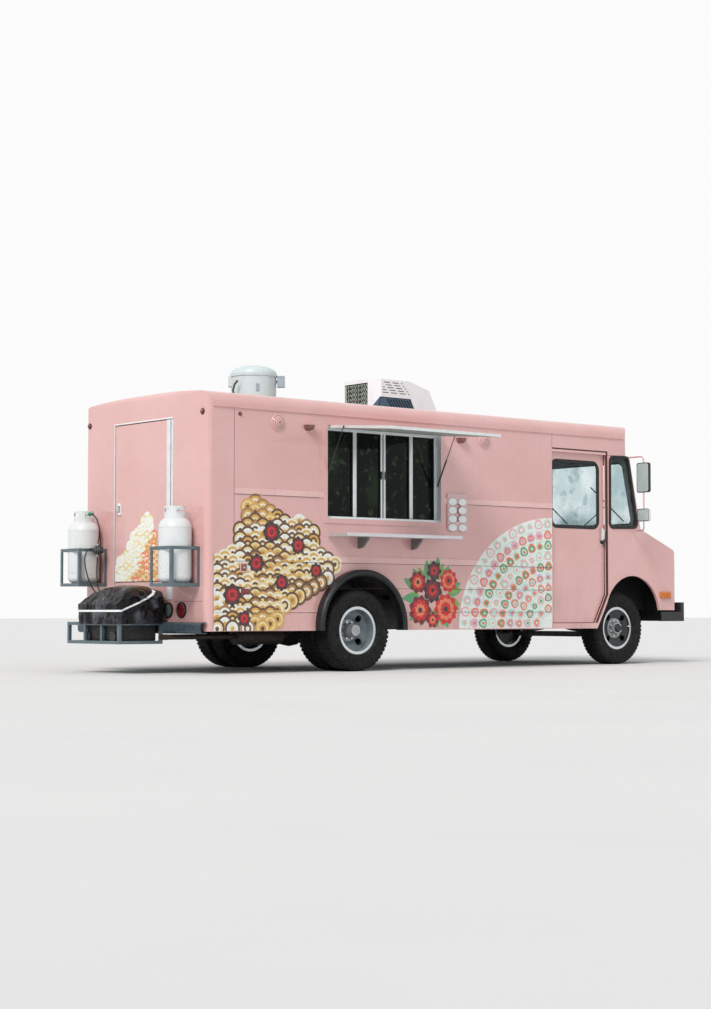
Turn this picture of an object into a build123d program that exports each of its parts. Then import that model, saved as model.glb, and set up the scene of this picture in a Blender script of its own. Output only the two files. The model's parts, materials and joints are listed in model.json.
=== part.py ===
from build123d import *
import os
from math import atan2, cos, degrees, pi, radians, sin, tan

# Food truck on a walk-in van body. Millimetres.
# +X forward, +Y to the truck's left, +Z up. The origin is on the ground, on the centreline,
# midway between the axles. The serving side is -Y.

os.makedirs("parts", exist_ok=True)

# Body
BODY_W = 2120
REAR_X = -3726
SKIRT_Z = 400
GUTTER_Z = 2500
SHOULDER_Z = 2640
CROWN_Z = 2690
SHOULDER_R = 105
WALL = 30
REAR_CORNER_R = 60
HEADER_X = 2040
HEADER_Z = 2310
HEADER_CORNER_R = 100
HEADER_TOP_R = 115
REAR_SEAM_X = -3420
GUTTER_BEAD = 12
HALF_W = BODY_W / 2
INNER_Y = HALF_W - WALL

# Front end
SILL_X = 1473
DOOR_POST_X = 1664
DIAGONAL_TOP_Z = 764
WINDSHIELD_FOOT = (2222, 1505)
HOOD_FRONT = (2800, 1268)
NOSE_X = 2870
NOSE_TOP_Z = 1200
NOSE_Z = 600
NOSE_CORNER_R = 130
NOSE_SEAM_X = 2738
HOOD_SHEET = 24

# Chassis
WHEELBASE = 3890
FLOOR_Z = 800
FLOOR_T = 40
RAIL_H = 170
RAIL_W = 65
RAIL_T = 9
RAIL_Y = 400
RAIL_REAR_X = -3640
RAIL_FRONT_X = 2790

# Wheels
TYRE_R = 400
TYRE_W = 235
RIM_R = 221
RIM_W = 170
FRONT_WHEEL_Y = 860
REAR_OUTER_Y = 1012
DUAL_SPACING = 272
KINGPIN_Y = 770
SPINDLE_R = 28
BEARING_GAP = 0.3
SEAT_GAP = 0.3

FRONT_X = WHEELBASE / 2
REAR_AXLE_X = -WHEELBASE / 2

# Arches
FRONT_ARCH = (2090, 540, 441)
FRONT_ARCH_FOOT = (1669, 678)
FRONT_ARCH_SILL_X = 1512
REAR_ARCH_X = -1882
REAR_ARCH_Z = 437
REAR_ARCH_R = 500
FLARE_BAND = 60
FLARE_OUT = 95
WHEELHOUSE_T = 12
WHEELHOUSE_Y = 560

# Sliding cab doors
DOOR_REAR_X = 815
DOOR_FRONT_X = 1656
DOOR_Z = 465
DOOR_TOP_Z = 2345
DOOR_T = 26
DOOR_CLEAR = 6
DOOR_BAY_Y = INNER_Y - 2 * DOOR_CLEAR - DOOR_T
DOOR_FOOT_X = 1484
DOOR_TRAVEL = 750
DOOR_LAP = 60
DOOR_BAY_REAR = DOOR_REAR_X - DOOR_LAP - DOOR_TRAVEL
DOOR_WINDOW = (845, 1563, 1509, 2213, 75)
GLASS_T = 6
TRACK = 18

# Serving window
FRAME_X0, FRAME_X1, FRAME_Z0, FRAME_Z1 = -2345, -760, 1445, 2430
FRAME_BAND = 42
FRAME_PROUD = 8
JAMB_T = 6
JAMB_DEPTH = 115
SASH = 24
MULLIONS = (-1880, -1539, -1495, -1146)

# Awning
AWNING_T = 28
AWNING_L = 890
AWNING_DROOP = 4.5
AWNING_CLEAR = 5
STRUT_FOOT_Z = 1866
STRUT_ARM = 210
STRUT_TUBE_R = 8
STRUT_ROD_R = 4
STRUT_TUBE_L = 296
STRUT_SIDE_GAP = 3
STRUT_FOOT_INSET = 34
STRUT_BORE_END = 24
STRUT_ENGAGED = 12
EYE_T = 8
EYE_R = 9
PIN_R = 4

# Shelf
SHELF_OUT = 300
SHELF_T = 32
SHELF_TOP = 1345
SHELF_X0, SHELF_X1 = -2295, -780
BRACKETS_X = (-1898, -1197)
BRACKET_T = 28
BRACKET_OUT = 150
BRACKET_H = 110
BRACKET_TIP = 22

# Rear wall
REAR_DOOR_Y0, REAR_DOOR_Y1 = -452, 500
REAR_DOOR_Z0, REAR_DOOR_Z1 = 875, 2412
REAR_DOOR_GAP = 7
HINGE_Y = -460
HINGE_OUT = 12
HINGE_R = 7
HINGE_LEAF = 42
TAIL_LAMPS_Y = (-436, -654)
TAIL_LAMP_Z = 599
TAIL_LAMP_R = 64.5

# Rear steelwork
BUMPER_Z0, BUMPER_Z1 = 377, 485
BUMPER_OUT = 78
TUBE = 30
CAGE_W = 349
CAGE_OUT = 322
CAGE_H = 372
CAGE_T = 4
CAGES = ((-768.5, 818), (823.5, 833))
TANK_R = 155.5
TANK_H = 743
RACK_X = -4295
RACK_Y = 453
RACK_Z0, RACK_Z1 = 280, 486

# Roof
AC_REAR_X, AC_FRONT_X = -1048, -176
AC_HALF_W = 294
AC_BREAK_X = -560
AC_H = 340
FAN_X = -2403
FAN_R = 230
FAN_LIP_Z = 2965
FAN_TOP_Z = 3078


def box(x0, x1, y0, y1, z0, z1):
    place = Pos((x0 + x1) / 2, (y0 + y1) / 2, (z0 + z1) / 2)
    return place * Box(abs(x1 - x0), abs(y1 - y0), abs(z1 - z0))


def rod(start, end, radius):
    axis = Vector(*end) - Vector(*start)
    return Solid.make_cylinder(radius, axis.length, Plane(origin=start, z_dir=axis))


def side_face(points, y, radius=0):
    wire = Wire.make_polygon([(x, y, z) for x, z in points], close=True)
    if radius:
        wire = wire.fillet_2d(radius, wire.vertices())
    return Face(wire)


def side_prism(points, y0, y1, radius=0):
    y0, y1 = sorted((y0, y1))
    return Solid.extrude(side_face(points, y0, radius), Vector(0, y1 - y0, 0))


def front_prism(points, x0, x1, radius=0):
    wire = Wire.make_polygon([(x0, y, z) for y, z in points], close=True)
    if radius:
        wire = wire.fillet_2d(radius, wire.vertices())
    return Solid.extrude(Face(wire), Vector(x1 - x0, 0, 0))


def disc(x, z, radius, y0, y1):
    return rod((x, y0, z), (x, y1, z), radius)


def rectangle(x0, x1, z0, z1):
    return [(x0, z0), (x1, z0), (x1, z1), (x0, z1)]


def spun(profile, x, y, z):
    # profile: (radius, place along the axle), turned about a line along Y
    wire = Wire.make_polygon([(x + r, y + s, z) for r, s in profile], close=True)
    axis = Axis((x, y, z), (0, 1, 0))
    return Solid.revolve(Face(wire), 360, axis)


def upright(profile, x, y):
    # profile: (radius, height), turned about a vertical line
    wire = Wire.make_polygon([(x + r, y, z) for r, z in profile], close=True)
    return Solid.revolve(Face(wire), 360, Axis((x, y, 0), (0, 0, 1)))


def square_tube(start, end, size=TUBE):
    (x0, y0, z0), (x1, y1, z1) = start, end
    half = size / 2
    return box(min(x0, x1) - half, max(x0, x1) + half, min(y0, y1) - half, max(y0, y1) + half,
               min(z0, z1) - half, max(z0, z1) + half)


def bent_rod(points, bends, radius):
    # a round rod through points, turned at each inner one about that bend's own radius
    points = [Vector(*p) for p in points]
    pieces = []
    start = points[0]
    length = 0
    for before, here, after, bend in zip(points, points[1:], points[2:], bends):
        ahead, onward = (here - before).normalized(), (after - here).normalized()
        turn = ahead.get_angle(onward)
        reach = bend * tan(radians(turn / 2))
        entry = here - ahead * reach
        pieces.append(rod(start, entry, radius))
        normal = ahead.cross(onward).normalized()
        centre = entry + normal.cross(ahead) * bend
        section = Face(Wire.make_circle(radius, Plane(origin=entry, z_dir=ahead)))
        pieces.append(Solid.revolve(section, turn, Axis(centre, normal)))
        length += (entry - start).length + bend * radians(turn)
        start = here + onward * reach
    pieces.append(rod(start, points[-1], radius))
    return fused(pieces), length + (points[-1] - start).length


def mirrored(solid):
    return solid.mirror(Plane.XZ)


def both(solid):
    return [solid, mirrored(solid)]


def fused(pieces):
    result = pieces[0]
    for piece in pieces[1:]:
        result = result + piece
    return result


def save(name, *pieces):
    solids = [solid for piece in pieces for solid in piece.solids()]
    shape = solids[0] if len(solids) == 1 else Compound(children=solids)
    export_step(shape, f"parts/{name}.step")


# Body box: the shape common to a cross section, a side view and a plan
def body_section(inset):
    half = HALF_W - inset
    low = SKIRT_Z - inset
    shoulder = SHOULDER_Z - inset
    lines = [
        Line((REAR_X, -half, shoulder), (REAR_X, -half, low)),
        Line((REAR_X, -half, low), (REAR_X, half, low)),
        Line((REAR_X, half, low), (REAR_X, half, shoulder)),
        ThreePointArc((REAR_X, half, shoulder), (REAR_X, 0, CROWN_Z - inset), (REAR_X, -half, shoulder)),
    ]
    wire = Wire(lines)
    corners = [v for v in wire.vertices() if v.Z > shoulder - 1]
    face = Face(wire.fillet_2d(SHOULDER_R - inset, corners))
    return Solid.extrude(face, Vector(HEADER_X - REAR_X, 0, 0))


def body_side(inset):
    points = rectangle(REAR_X + inset, HEADER_X - inset, SKIRT_Z - inset, CROWN_Z - inset)
    wire = Wire.make_polygon([(x, -HALF_W, z) for x, z in points], close=True)
    front = [v for v in wire.vertices() if v.Z > GUTTER_Z and v.X > 0]
    wire = wire.fillet_2d(HEADER_TOP_R - inset, front)
    rear = [v for v in wire.vertices() if v.X < REAR_X + inset + 1 and v.Z > GUTTER_Z]
    wire = wire.fillet_2d(REAR_CORNER_R - inset, rear)
    return Solid.extrude(Face(wire), Vector(0, BODY_W, 0))


def body_plan(inset):
    half = HALF_W - inset
    rear, front, low = REAR_X + inset, HEADER_X - inset, SKIRT_Z - inset
    wire = Wire.make_polygon([(rear, -half, low), (front, -half, low), (front, half, low), (rear, half, low)],
                             close=True)
    wire = wire.fillet_2d(HEADER_CORNER_R - inset, [v for v in wire.vertices() if v.X > 0])
    wire = wire.fillet_2d(REAR_CORNER_R - inset, [v for v in wire.vertices() if v.X < rear + 1])
    return Solid.extrude(Face(wire), Vector(0, 0, CROWN_Z))


def body_box(inset):
    return body_section(inset) & body_side(inset) & body_plan(inset)


body_shell = body_box(0) - body_box(WALL)


# Front end: the hood and nose, one outline pulled across the truck
def hood_points(drop):
    slope = atan2(WINDSHIELD_FOOT[1] - HOOD_FRONT[1], HOOD_FRONT[0] - WINDSHIELD_FOOT[0])
    fall = drop / cos(slope)
    return (WINDSHIELD_FOOT[0], WINDSHIELD_FOOT[1] - fall), (HOOD_FRONT[0], HOOD_FRONT[1] - fall)


def nose_block(inset):
    foot, front = hood_points(inset)
    low = NOSE_Z - inset
    outline = [(WINDSHIELD_FOOT[0], low), (NOSE_X - inset, low), (NOSE_X - inset, NOSE_TOP_Z - inset / 2),
               (front[0] - inset / 2, front[1]), foot]
    half = HALF_W - inset
    block = side_prism(outline, -half, half)
    plan = Wire.make_polygon([(WINDSHIELD_FOOT[0], -half, low), (NOSE_X - inset, -half, low),
                              (NOSE_X - inset, half, low), (WINDSHIELD_FOOT[0], half, low)], close=True)
    plan = plan.fillet_2d(NOSE_CORNER_R - inset, [v for v in plan.vertices() if v.X > FRONT_X + 500])
    return block & Solid.extrude(Face(plan), Vector(0, 0, GUTTER_Z))


nose_shell = nose_block(0) - nose_block(WALL)
hood_foot, hood_front = hood_points(HOOD_SHEET)
hood_zone = side_prism([hood_foot, (hood_front[0], hood_front[1]), (HOOD_FRONT[0], HOOD_FRONT[1] + 60),
                        (WINDSHIELD_FOOT[0], WINDSHIELD_FOOT[1] + 60)], -HALF_W, HALF_W)


# Arch cutters
def front_arch(y0, y1):
    y0, y1 = sorted((y0, y1))
    x, z, radius = FRONT_ARCH
    front_foot = (x + (radius ** 2 - (NOSE_Z - z) ** 2) ** 0.5, NOSE_Z)
    low = SKIRT_Z - 50
    lines = [
        Line((FRONT_ARCH_SILL_X, y0, SKIRT_Z), (FRONT_ARCH_FOOT[0], y0, FRONT_ARCH_FOOT[1])),
        ThreePointArc((FRONT_ARCH_FOOT[0], y0, FRONT_ARCH_FOOT[1]), (x, y0, z + radius),
                      (front_foot[0], y0, NOSE_Z)),
        Line((front_foot[0], y0, NOSE_Z), (front_foot[0], y0, low)),
        Line((front_foot[0], y0, low), (FRONT_ARCH_SILL_X, y0, low)),
        Line((FRONT_ARCH_SILL_X, y0, low), (FRONT_ARCH_SILL_X, y0, SKIRT_Z)),
    ]
    return Solid.extrude(Face(Wire(lines)), Vector(0, y1 - y0, 0))


def rear_arch(radius, y0, y1):
    y0, y1 = sorted((y0, y1))
    x, z = REAR_ARCH_X, REAR_ARCH_Z
    low = SKIRT_Z - 50
    lines = [
        ThreePointArc((x - radius, y0, z), (x, y0, z + radius), (x + radius, y0, z)),
        Line((x + radius, y0, z), (x + radius, y0, low)),
        Line((x + radius, y0, low), (x - radius, y0, low)),
        Line((x - radius, y0, low), (x - radius, y0, z)),
    ]
    return Solid.extrude(Face(Wire(lines)), Vector(0, y1 - y0, 0))


# Mouldings along the walls: height of the lower edge, height, how far they stand out
MOULDINGS = ((1690, 55, 7), (1060, 60, 7), (815, 14, 5), (580, 14, 5))


def wall(side):
    y_out, y_in = side * HALF_W, side * (INNER_Y - 5)
    low, high = min(y_out, y_in), max(y_out, y_in)
    panel = body_shell & box(REAR_SEAM_X, DOOR_REAR_X, low, high, SKIRT_Z, GUTTER_Z)
    panel += box(DOOR_REAR_X, SILL_X, min(y_out, side * INNER_Y), max(y_out, side * INNER_Y), SKIRT_Z,
                 DOOR_Z - DOOR_CLEAR)
    for z, height, proud in MOULDINGS:
        panel += box(REAR_SEAM_X + 5, DOOR_REAR_X - 5, min(y_out, y_out + side * proud),
                     max(y_out, y_out + side * proud), z, z + height)
    panel -= rear_arch(REAR_ARCH_R, low - 50, high + 50)
    flare_y = side * (HALF_W + 50)
    panel -= rear_arch(REAR_ARCH_R + FLARE_BAND + SEAT_GAP, min(y_out, flare_y), max(y_out, flare_y))
    track_y = side * DOOR_BAY_Y
    inner = side * INNER_Y
    panel += box(DOOR_BAY_REAR, DOOR_REAR_X, min(inner, track_y), max(inner, track_y), DOOR_TOP_Z + SEAT_GAP,
                 DOOR_TOP_Z + SEAT_GAP + TRACK)
    return panel


wall_left = wall(1)
wall_right = wall(-1)
wall_right -= box(FRAME_X0 + FRAME_BAND, FRAME_X1 - FRAME_BAND, -HALF_W - 50, -INNER_Y + 50,
                  FRAME_Z0 + FRAME_BAND, FRAME_Z1 - FRAME_BAND)
wall_right -= box(FRAME_X0, FRAME_X1, -HALF_W - 50, -HALF_W, FRAME_Z0, FRAME_Z1)
save("wall_right", wall_right)
save("wall_left", wall_left)

# Roof with its gutter beads
roof = body_shell & box(REAR_X, HEADER_X, -HALF_W, HALF_W, GUTTER_Z, CROWN_Z)
for side in (-1, 1):
    edge = side * HALF_W
    roof += box(REAR_X + REAR_CORNER_R, HEADER_X - HEADER_CORNER_R, min(edge, edge + side * GUTTER_BEAD),
                max(edge, edge + side * GUTTER_BEAD), GUTTER_Z, GUTTER_Z + GUTTER_BEAD)
save("roof", roof)

# Rear wall with its corners, door opening and lamp holes
wall_rear = body_shell & box(REAR_X, REAR_SEAM_X, -HALF_W, HALF_W, SKIRT_Z, GUTTER_Z)
wall_rear -= box(REAR_X - 50, REAR_X + WALL + 50, REAR_DOOR_Y0 - REAR_DOOR_GAP, REAR_DOOR_Y1 + REAR_DOOR_GAP,
                 REAR_DOOR_Z0 - REAR_DOOR_GAP, REAR_DOOR_Z1 + REAR_DOOR_GAP)
for y in TAIL_LAMPS_Y:
    for place in (y, -y):
        wall_rear -= rod((REAR_X - 50, place, TAIL_LAMP_Z), (REAR_X + WALL + 50, place, TAIL_LAMP_Z),
                         TAIL_LAMP_R)
hinge_x = REAR_X - HINGE_OUT
wall_rear += box(REAR_X - 4, REAR_X, HINGE_Y - HINGE_LEAF, HINGE_Y - HINGE_R - 1, REAR_DOOR_Z0 - 175,
                 REAR_DOOR_Z1)
save("wall_rear", wall_rear)

# Front cap: the header band and the windshield frame
front_cap = body_shell & box(DOOR_REAR_X, HEADER_X, -HALF_W, HALF_W, HEADER_Z, GUTTER_Z)
foot_x, foot_z = WINDSHIELD_FOOT
rake = atan2(foot_x - HEADER_X, HEADER_Z - foot_z)
slab = WALL / cos(rake)
surround = side_prism([(HEADER_X, HEADER_Z), (foot_x, foot_z), (foot_x - slab, foot_z),
                       (HEADER_X - slab, HEADER_Z)],
                      -INNER_Y, INNER_Y)


def on_screen(height):
    return foot_x - (height - foot_z) * tan(rake)


SCREEN_MARGIN = 75
SCREEN_SILL = 55
screen_low, screen_high = foot_z + SCREEN_SILL, HEADER_Z - SCREEN_SILL
screen_half = INNER_Y - SCREEN_MARGIN


def screen_prism(shrink, depth0, depth1, radius):
    # a pane between two depths behind the slanted outer face
    low, high = screen_low + shrink, screen_high - shrink
    normal = Vector(cos(rake), 0, sin(rake))
    half = screen_half - shrink
    corners = [Vector(on_screen(z), y, z) - normal * depth0 for y, z in
               ((-half, low), (half, low), (half, high), (-half, high))]
    wire = Wire.make_polygon(corners, close=True)
    wire = wire.fillet_2d(radius, wire.vertices())
    return Solid.extrude(Face(wire), normal * (depth0 - depth1))


SCREEN_R = 70
front_cap += surround - screen_prism(0, -20, WALL + 20, SCREEN_R)
for side in (-1, 1):
    inner = side * INNER_Y
    track_y = side * DOOR_BAY_Y
    front_cap += box(DOOR_REAR_X, DOOR_FRONT_X, min(inner, track_y), max(inner, track_y),
                     DOOR_TOP_Z + SEAT_GAP,
                     DOOR_TOP_Z + SEAT_GAP + TRACK)
save("front_cap", front_cap)

# Front fenders: door post, quarter window frame, cowl side and arch
VENT = ((1725, 1519), (2162, 1531), (2012, 2294), (1733, 2288))
VENT_R = 45
fender_outline = [(SILL_X, SKIRT_Z), (FRONT_ARCH_SILL_X, SKIRT_Z), (NOSE_SEAM_X, SKIRT_Z),
                  (NOSE_SEAM_X, GUTTER_Z), (DOOR_POST_X, GUTTER_Z), (DOOR_POST_X, DIAGONAL_TOP_Z),
                  (DOOR_FOOT_X + 8, DOOR_Z - DOOR_CLEAR), (SILL_X, DOOR_Z - DOOR_CLEAR)]
front_limit = [(SILL_X, SKIRT_Z), (NOSE_SEAM_X, SKIRT_Z), (NOSE_SEAM_X, hood_points(0)[0][1]),
               (foot_x, foot_z),
               (HEADER_X, HEADER_Z), (SILL_X, HEADER_Z)]
fender_right = side_prism(fender_outline, -HALF_W, -INNER_Y) & side_prism(front_limit, -HALF_W, -INNER_Y)
over_hood = side_prism([(foot_x, hood_foot[1]), hood_front, (NOSE_X, hood_front[1]), (NOSE_X, foot_z + 100),
                        (foot_x, foot_z + 100)], -HALF_W, -INNER_Y)
fender_right -= over_hood
fender_right -= front_arch(-HALF_W - 50, -INNER_Y + 50)
fender_right -= box(FRONT_ARCH[0], NOSE_SEAM_X, -HALF_W, -INNER_Y, SKIRT_Z, NOSE_Z)
fender_right -= side_prism(VENT, -HALF_W - 50, -INNER_Y + 50, VENT_R)
save("fenders", *both(fender_right))

# Hood and cowl, one sheet over the full width
hood = (nose_block(0) & hood_zone)
hood -= box(NOSE_X - WALL, NOSE_X, -HALF_W, HALF_W, NOSE_Z, HOOD_FRONT[1] - HOOD_SHEET)
save("hood", hood)

# Nose panel with the grille opening and headlamp holes
GRILLE_HALF_W = 480
GRILLE_Z0, GRILLE_Z1 = 760, 1090
HEADLAMP_Y = 740
HEADLAMP_Z = 930
HEADLAMP_R = 89
nose_panel = nose_shell & box(NOSE_SEAM_X, NOSE_X, -HALF_W, HALF_W, NOSE_Z, HOOD_FRONT[1] + 60)
nose_panel -= hood_zone
nose_panel -= box(NOSE_X - WALL - 50, NOSE_X + 50, -GRILLE_HALF_W, GRILLE_HALF_W, GRILLE_Z0, GRILLE_Z1)
for y in (-HEADLAMP_Y, HEADLAMP_Y):
    nose_panel -= rod((NOSE_X - WALL - 50, y, HEADLAMP_Z), (NOSE_X + 50, y, HEADLAMP_Z), HEADLAMP_R)
save("nose_panel", nose_panel)

# Grille: a frame with bars across the opening
GRILLE_BARS = 7
GRILLE_T = 22
bars = []
for side in (-1, 1):
    edge = side * (GRILLE_HALF_W - SEAT_GAP)
    bars.append(box(NOSE_X - WALL, NOSE_X - WALL + GRILLE_T, min(edge, edge - side * 24),
                    max(edge, edge - side * 24),
                    GRILLE_Z0 + SEAT_GAP, GRILLE_Z1 - SEAT_GAP))
bars.append(box(NOSE_X - WALL, NOSE_X - WALL + GRILLE_T, -12, 12, GRILLE_Z0 + SEAT_GAP, GRILLE_Z1 - SEAT_GAP))
pitch = (GRILLE_Z1 - GRILLE_Z0 - 24 - 2 * SEAT_GAP) / (GRILLE_BARS - 1)
for index in range(GRILLE_BARS):
    z = GRILLE_Z0 + SEAT_GAP + index * pitch
    bars.append(box(NOSE_X - WALL, NOSE_X - WALL + GRILLE_T, -GRILLE_HALF_W + SEAT_GAP,
                    GRILLE_HALF_W - SEAT_GAP,
                    z, z + 24))
save("grille", fused(bars))

# Lamps
lamps = []
for y in (-HEADLAMP_Y, HEADLAMP_Y):
    lamps.append(rod((NOSE_X - WALL, y, HEADLAMP_Z), (NOSE_X + 6, y, HEADLAMP_Z), HEADLAMP_R - SEAT_GAP))
save("headlamps", *lamps)
MARKER = (2537, 2700, 732, 807)
MARKER_PROUD = 22
marker = side_prism(rectangle(*MARKER), -HALF_W - MARKER_PROUD, -HALF_W, 8)
save("side_markers", *both(marker))
lamps = []
for y in TAIL_LAMPS_Y:
    for place in (y, -y):
        lamps.append(rod((REAR_X - 10, place, TAIL_LAMP_Z), (REAR_X + WALL, place, TAIL_LAMP_Z),
                         TAIL_LAMP_R - SEAT_GAP))
save("tail_lamps", *lamps)

# Cab glass: windshield and quarter windows
vent_glass = side_prism(VENT, -HALF_W + 12, -HALF_W + 12 + GLASS_T, VENT_R)
save("cab_glass", screen_prism(SEAT_GAP, 12, 12 + GLASS_T, SCREEN_R), *both(vent_glass))


# Sliding doors
def door_outline():
    return [(DOOR_REAR_X - DOOR_LAP, DOOR_Z), (DOOR_FOOT_X, DOOR_Z), (DOOR_FRONT_X, DIAGONAL_TOP_Z + 8),
            (DOOR_FRONT_X, DOOR_TOP_Z), (DOOR_REAR_X - DOOR_LAP, DOOR_TOP_Z)]


DOOR_OUT_Y = INNER_Y - DOOR_CLEAR
HANDLE = (1584, 1612, 1365, 1500)
HANDLE_OUT = 36
x0, x1, z0, z1, window_r = DOOR_WINDOW
door_right = side_prism(door_outline(), -DOOR_OUT_Y, -DOOR_OUT_Y + DOOR_T)
door_right -= side_prism(rectangle(x0, x1, z0, z1), -DOOR_OUT_Y - 50, -DOOR_OUT_Y + DOOR_T + 50, window_r)
door_right += side_prism(rectangle(*HANDLE), -DOOR_OUT_Y - HANDLE_OUT, -DOOR_OUT_Y, 8)
save("door_right", door_right)
save("door_left", mirrored(door_right))
door_glass = side_prism(rectangle(x0 + SEAT_GAP, x1 - SEAT_GAP, z0 + SEAT_GAP, z1 - SEAT_GAP),
                        -DOOR_OUT_Y + 8, -DOOR_OUT_Y + 8 + GLASS_T, window_r)
save("door_glass_right", door_glass)
save("door_glass_left", mirrored(door_glass))

# Serving window: trim and jambs, sashes, glass
open_x0, open_x1 = FRAME_X0 + FRAME_BAND, FRAME_X1 - FRAME_BAND
open_z0, open_z1 = FRAME_Z0 + FRAME_BAND, FRAME_Z1 - FRAME_BAND
trim = side_prism(rectangle(FRAME_X0, FRAME_X1, FRAME_Z0, FRAME_Z1), -HALF_W - FRAME_PROUD, -HALF_W)
jamb = box(open_x0, open_x1, -HALF_W - FRAME_PROUD, -HALF_W + JAMB_DEPTH, open_z0, open_z1)
hole = box(open_x0 + JAMB_T, open_x1 - JAMB_T, -HALF_W - 50, -HALF_W + JAMB_DEPTH + 50, open_z0 + JAMB_T,
           open_z1 - JAMB_T)
drip = box(open_x0, open_x1, -HALF_W - FRAME_PROUD - AWNING_CLEAR - AWNING_T / 2, -HALF_W - FRAME_PROUD,
           open_z1 + AWNING_T / 2 + SEAT_GAP, open_z1 + AWNING_T / 2 + 4)
serving_frame = trim + jamb - hole + drip

sash_y0, sash_y1 = -HALF_W + JAMB_DEPTH - 40, -HALF_W + JAMB_DEPTH - 4
hole_x0, hole_x1 = open_x0 + JAMB_T, open_x1 - JAMB_T
hole_z0, hole_z1 = open_z0 + JAMB_T, open_z1 - JAMB_T
sash = box(hole_x0, hole_x1, sash_y0, sash_y1, hole_z0, hole_z1)
sash -= box(hole_x0 + SASH, hole_x1 - SASH, sash_y0 - 10, sash_y1 + 10, hole_z0 + SASH, hole_z1 - SASH)
for x in MULLIONS:
    sash += box(x - SASH / 2, x + SASH / 2, sash_y0, sash_y1, hole_z0, hole_z1)
save("window_frame", sash)
edges = sorted([hole_x0 + SASH, hole_x1 - SASH] + [x + s * SASH / 2 for x in MULLIONS for s in (-1, 1)])
panes = []
for left, right in zip(edges[::2], edges[1::2]):
    if right - left > SASH:
        panes.append(box(left + SEAT_GAP, right - SEAT_GAP, sash_y0 + 15, sash_y0 + 15 + GLASS_T,
                         hole_z0 + SASH + SEAT_GAP, hole_z1 - SASH - SEAT_GAP))
save("window_glass", *panes)

# Awning, shown open, on its hinge along the top of the opening
hinge_awning_y = -HALF_W - FRAME_PROUD - AWNING_T / 2 - AWNING_CLEAR
hinge_awning_z = open_z1
strut_reach = STRUT_SIDE_GAP + STRUT_TUBE_R
strut_xs = (hole_x0 + strut_reach, hole_x1 - strut_reach)
awning_x0, awning_x1 = strut_xs[0] + strut_reach, strut_xs[1] - strut_reach
awning = box(awning_x0, awning_x1, hinge_awning_y - AWNING_L, hinge_awning_y, hinge_awning_z - AWNING_T / 2,
             hinge_awning_z + AWNING_T / 2)
awning += rod((awning_x0, hinge_awning_y, hinge_awning_z), (awning_x1, hinge_awning_y, hinge_awning_z),
              AWNING_T / 2)
stud_y = hinge_awning_y - STRUT_ARM
for edge, eye in ((awning_x0, strut_xs[0] + EYE_T / 2), (awning_x1, strut_xs[1] - EYE_T / 2)):
    near, far = sorted((edge, eye + (SEAT_GAP if eye < edge else -SEAT_GAP)))
    awning += rod((near, stud_y, hinge_awning_z), (far, stud_y, hinge_awning_z), PIN_R)
hinge_line = Axis((0, hinge_awning_y, hinge_awning_z), (1, 0, 0))
awning = awning.rotate(hinge_line, AWNING_DROOP)
save("awning", awning)

# Struts: a tube on a pin in the jamb, and a rod whose eye lies on the stud at the awning's edge
droop = radians(AWNING_DROOP)
top_pin = (hinge_awning_y - STRUT_ARM * cos(droop), hinge_awning_z - STRUT_ARM * sin(droop))
foot_pin = (-HALF_W + STRUT_FOOT_INSET, STRUT_FOOT_Z)
strut_length = ((top_pin[0] - foot_pin[0]) ** 2 + (top_pin[1] - foot_pin[1]) ** 2) ** 0.5
along = ((top_pin[0] - foot_pin[0]) / strut_length, (top_pin[1] - foot_pin[1]) / strut_length)


def on_strut(x, distance):
    return (x, foot_pin[0] + along[0] * distance, foot_pin[1] + along[1] * distance)


tubes, rods, foot_pins = [], [], []
for x, jamb_x in zip(strut_xs, (hole_x0, hole_x1)):
    tube = rod(on_strut(x, 0), on_strut(x, STRUT_TUBE_L), STRUT_TUBE_R)
    tube -= rod(on_strut(x, STRUT_BORE_END), on_strut(x, STRUT_TUBE_L + 10), STRUT_ROD_R + SEAT_GAP)
    tube += rod((x - EYE_T / 2, *foot_pin), (x + EYE_T / 2, *foot_pin), EYE_R)
    tube -= rod((x - 2 * EYE_T, *foot_pin), (x + 2 * EYE_T, *foot_pin), PIN_R + BEARING_GAP)
    tubes.append(tube)
    stem = rod(on_strut(x, STRUT_TUBE_L - STRUT_ENGAGED), on_strut(x, strut_length), STRUT_ROD_R)
    stem += rod((x - EYE_T / 2, *top_pin), (x + EYE_T / 2, *top_pin), EYE_R)
    outer = -1 if jamb_x < x else 1
    head = sorted((x + outer * EYE_T / 2, x + outer * (EYE_T / 2 + 3)))
    stem += rod((head[0], *top_pin), (head[1], *top_pin), EYE_R - 2)
    rods.append(stem)
    foot_pins.append(rod((jamb_x - outer * SEAT_GAP, *foot_pin),
                         (x - outer * (STRUT_TUBE_R - 1), *foot_pin), PIN_R))
save("strut_tubes", *tubes)
save("strut_rods", *rods)
save("serving_frame", serving_frame, *foot_pins)

# Shelf with its two brackets
shelf_y = -HALF_W - SHELF_OUT
shelf = box(SHELF_X0, SHELF_X1, shelf_y, -HALF_W, SHELF_TOP - SHELF_T, SHELF_TOP)
for x in BRACKETS_X:
    under = SHELF_TOP - SHELF_T
    points = [(-HALF_W, under), (-HALF_W - BRACKET_OUT, under), (-HALF_W - BRACKET_OUT, under - BRACKET_TIP),
              (-HALF_W - BRACKET_OUT * 0.4, under - BRACKET_H + 10), (-HALF_W, under - BRACKET_H)]
    shelf += front_prism(points, x - BRACKET_T / 2, x + BRACKET_T / 2)
save("shelf", shelf)

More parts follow.
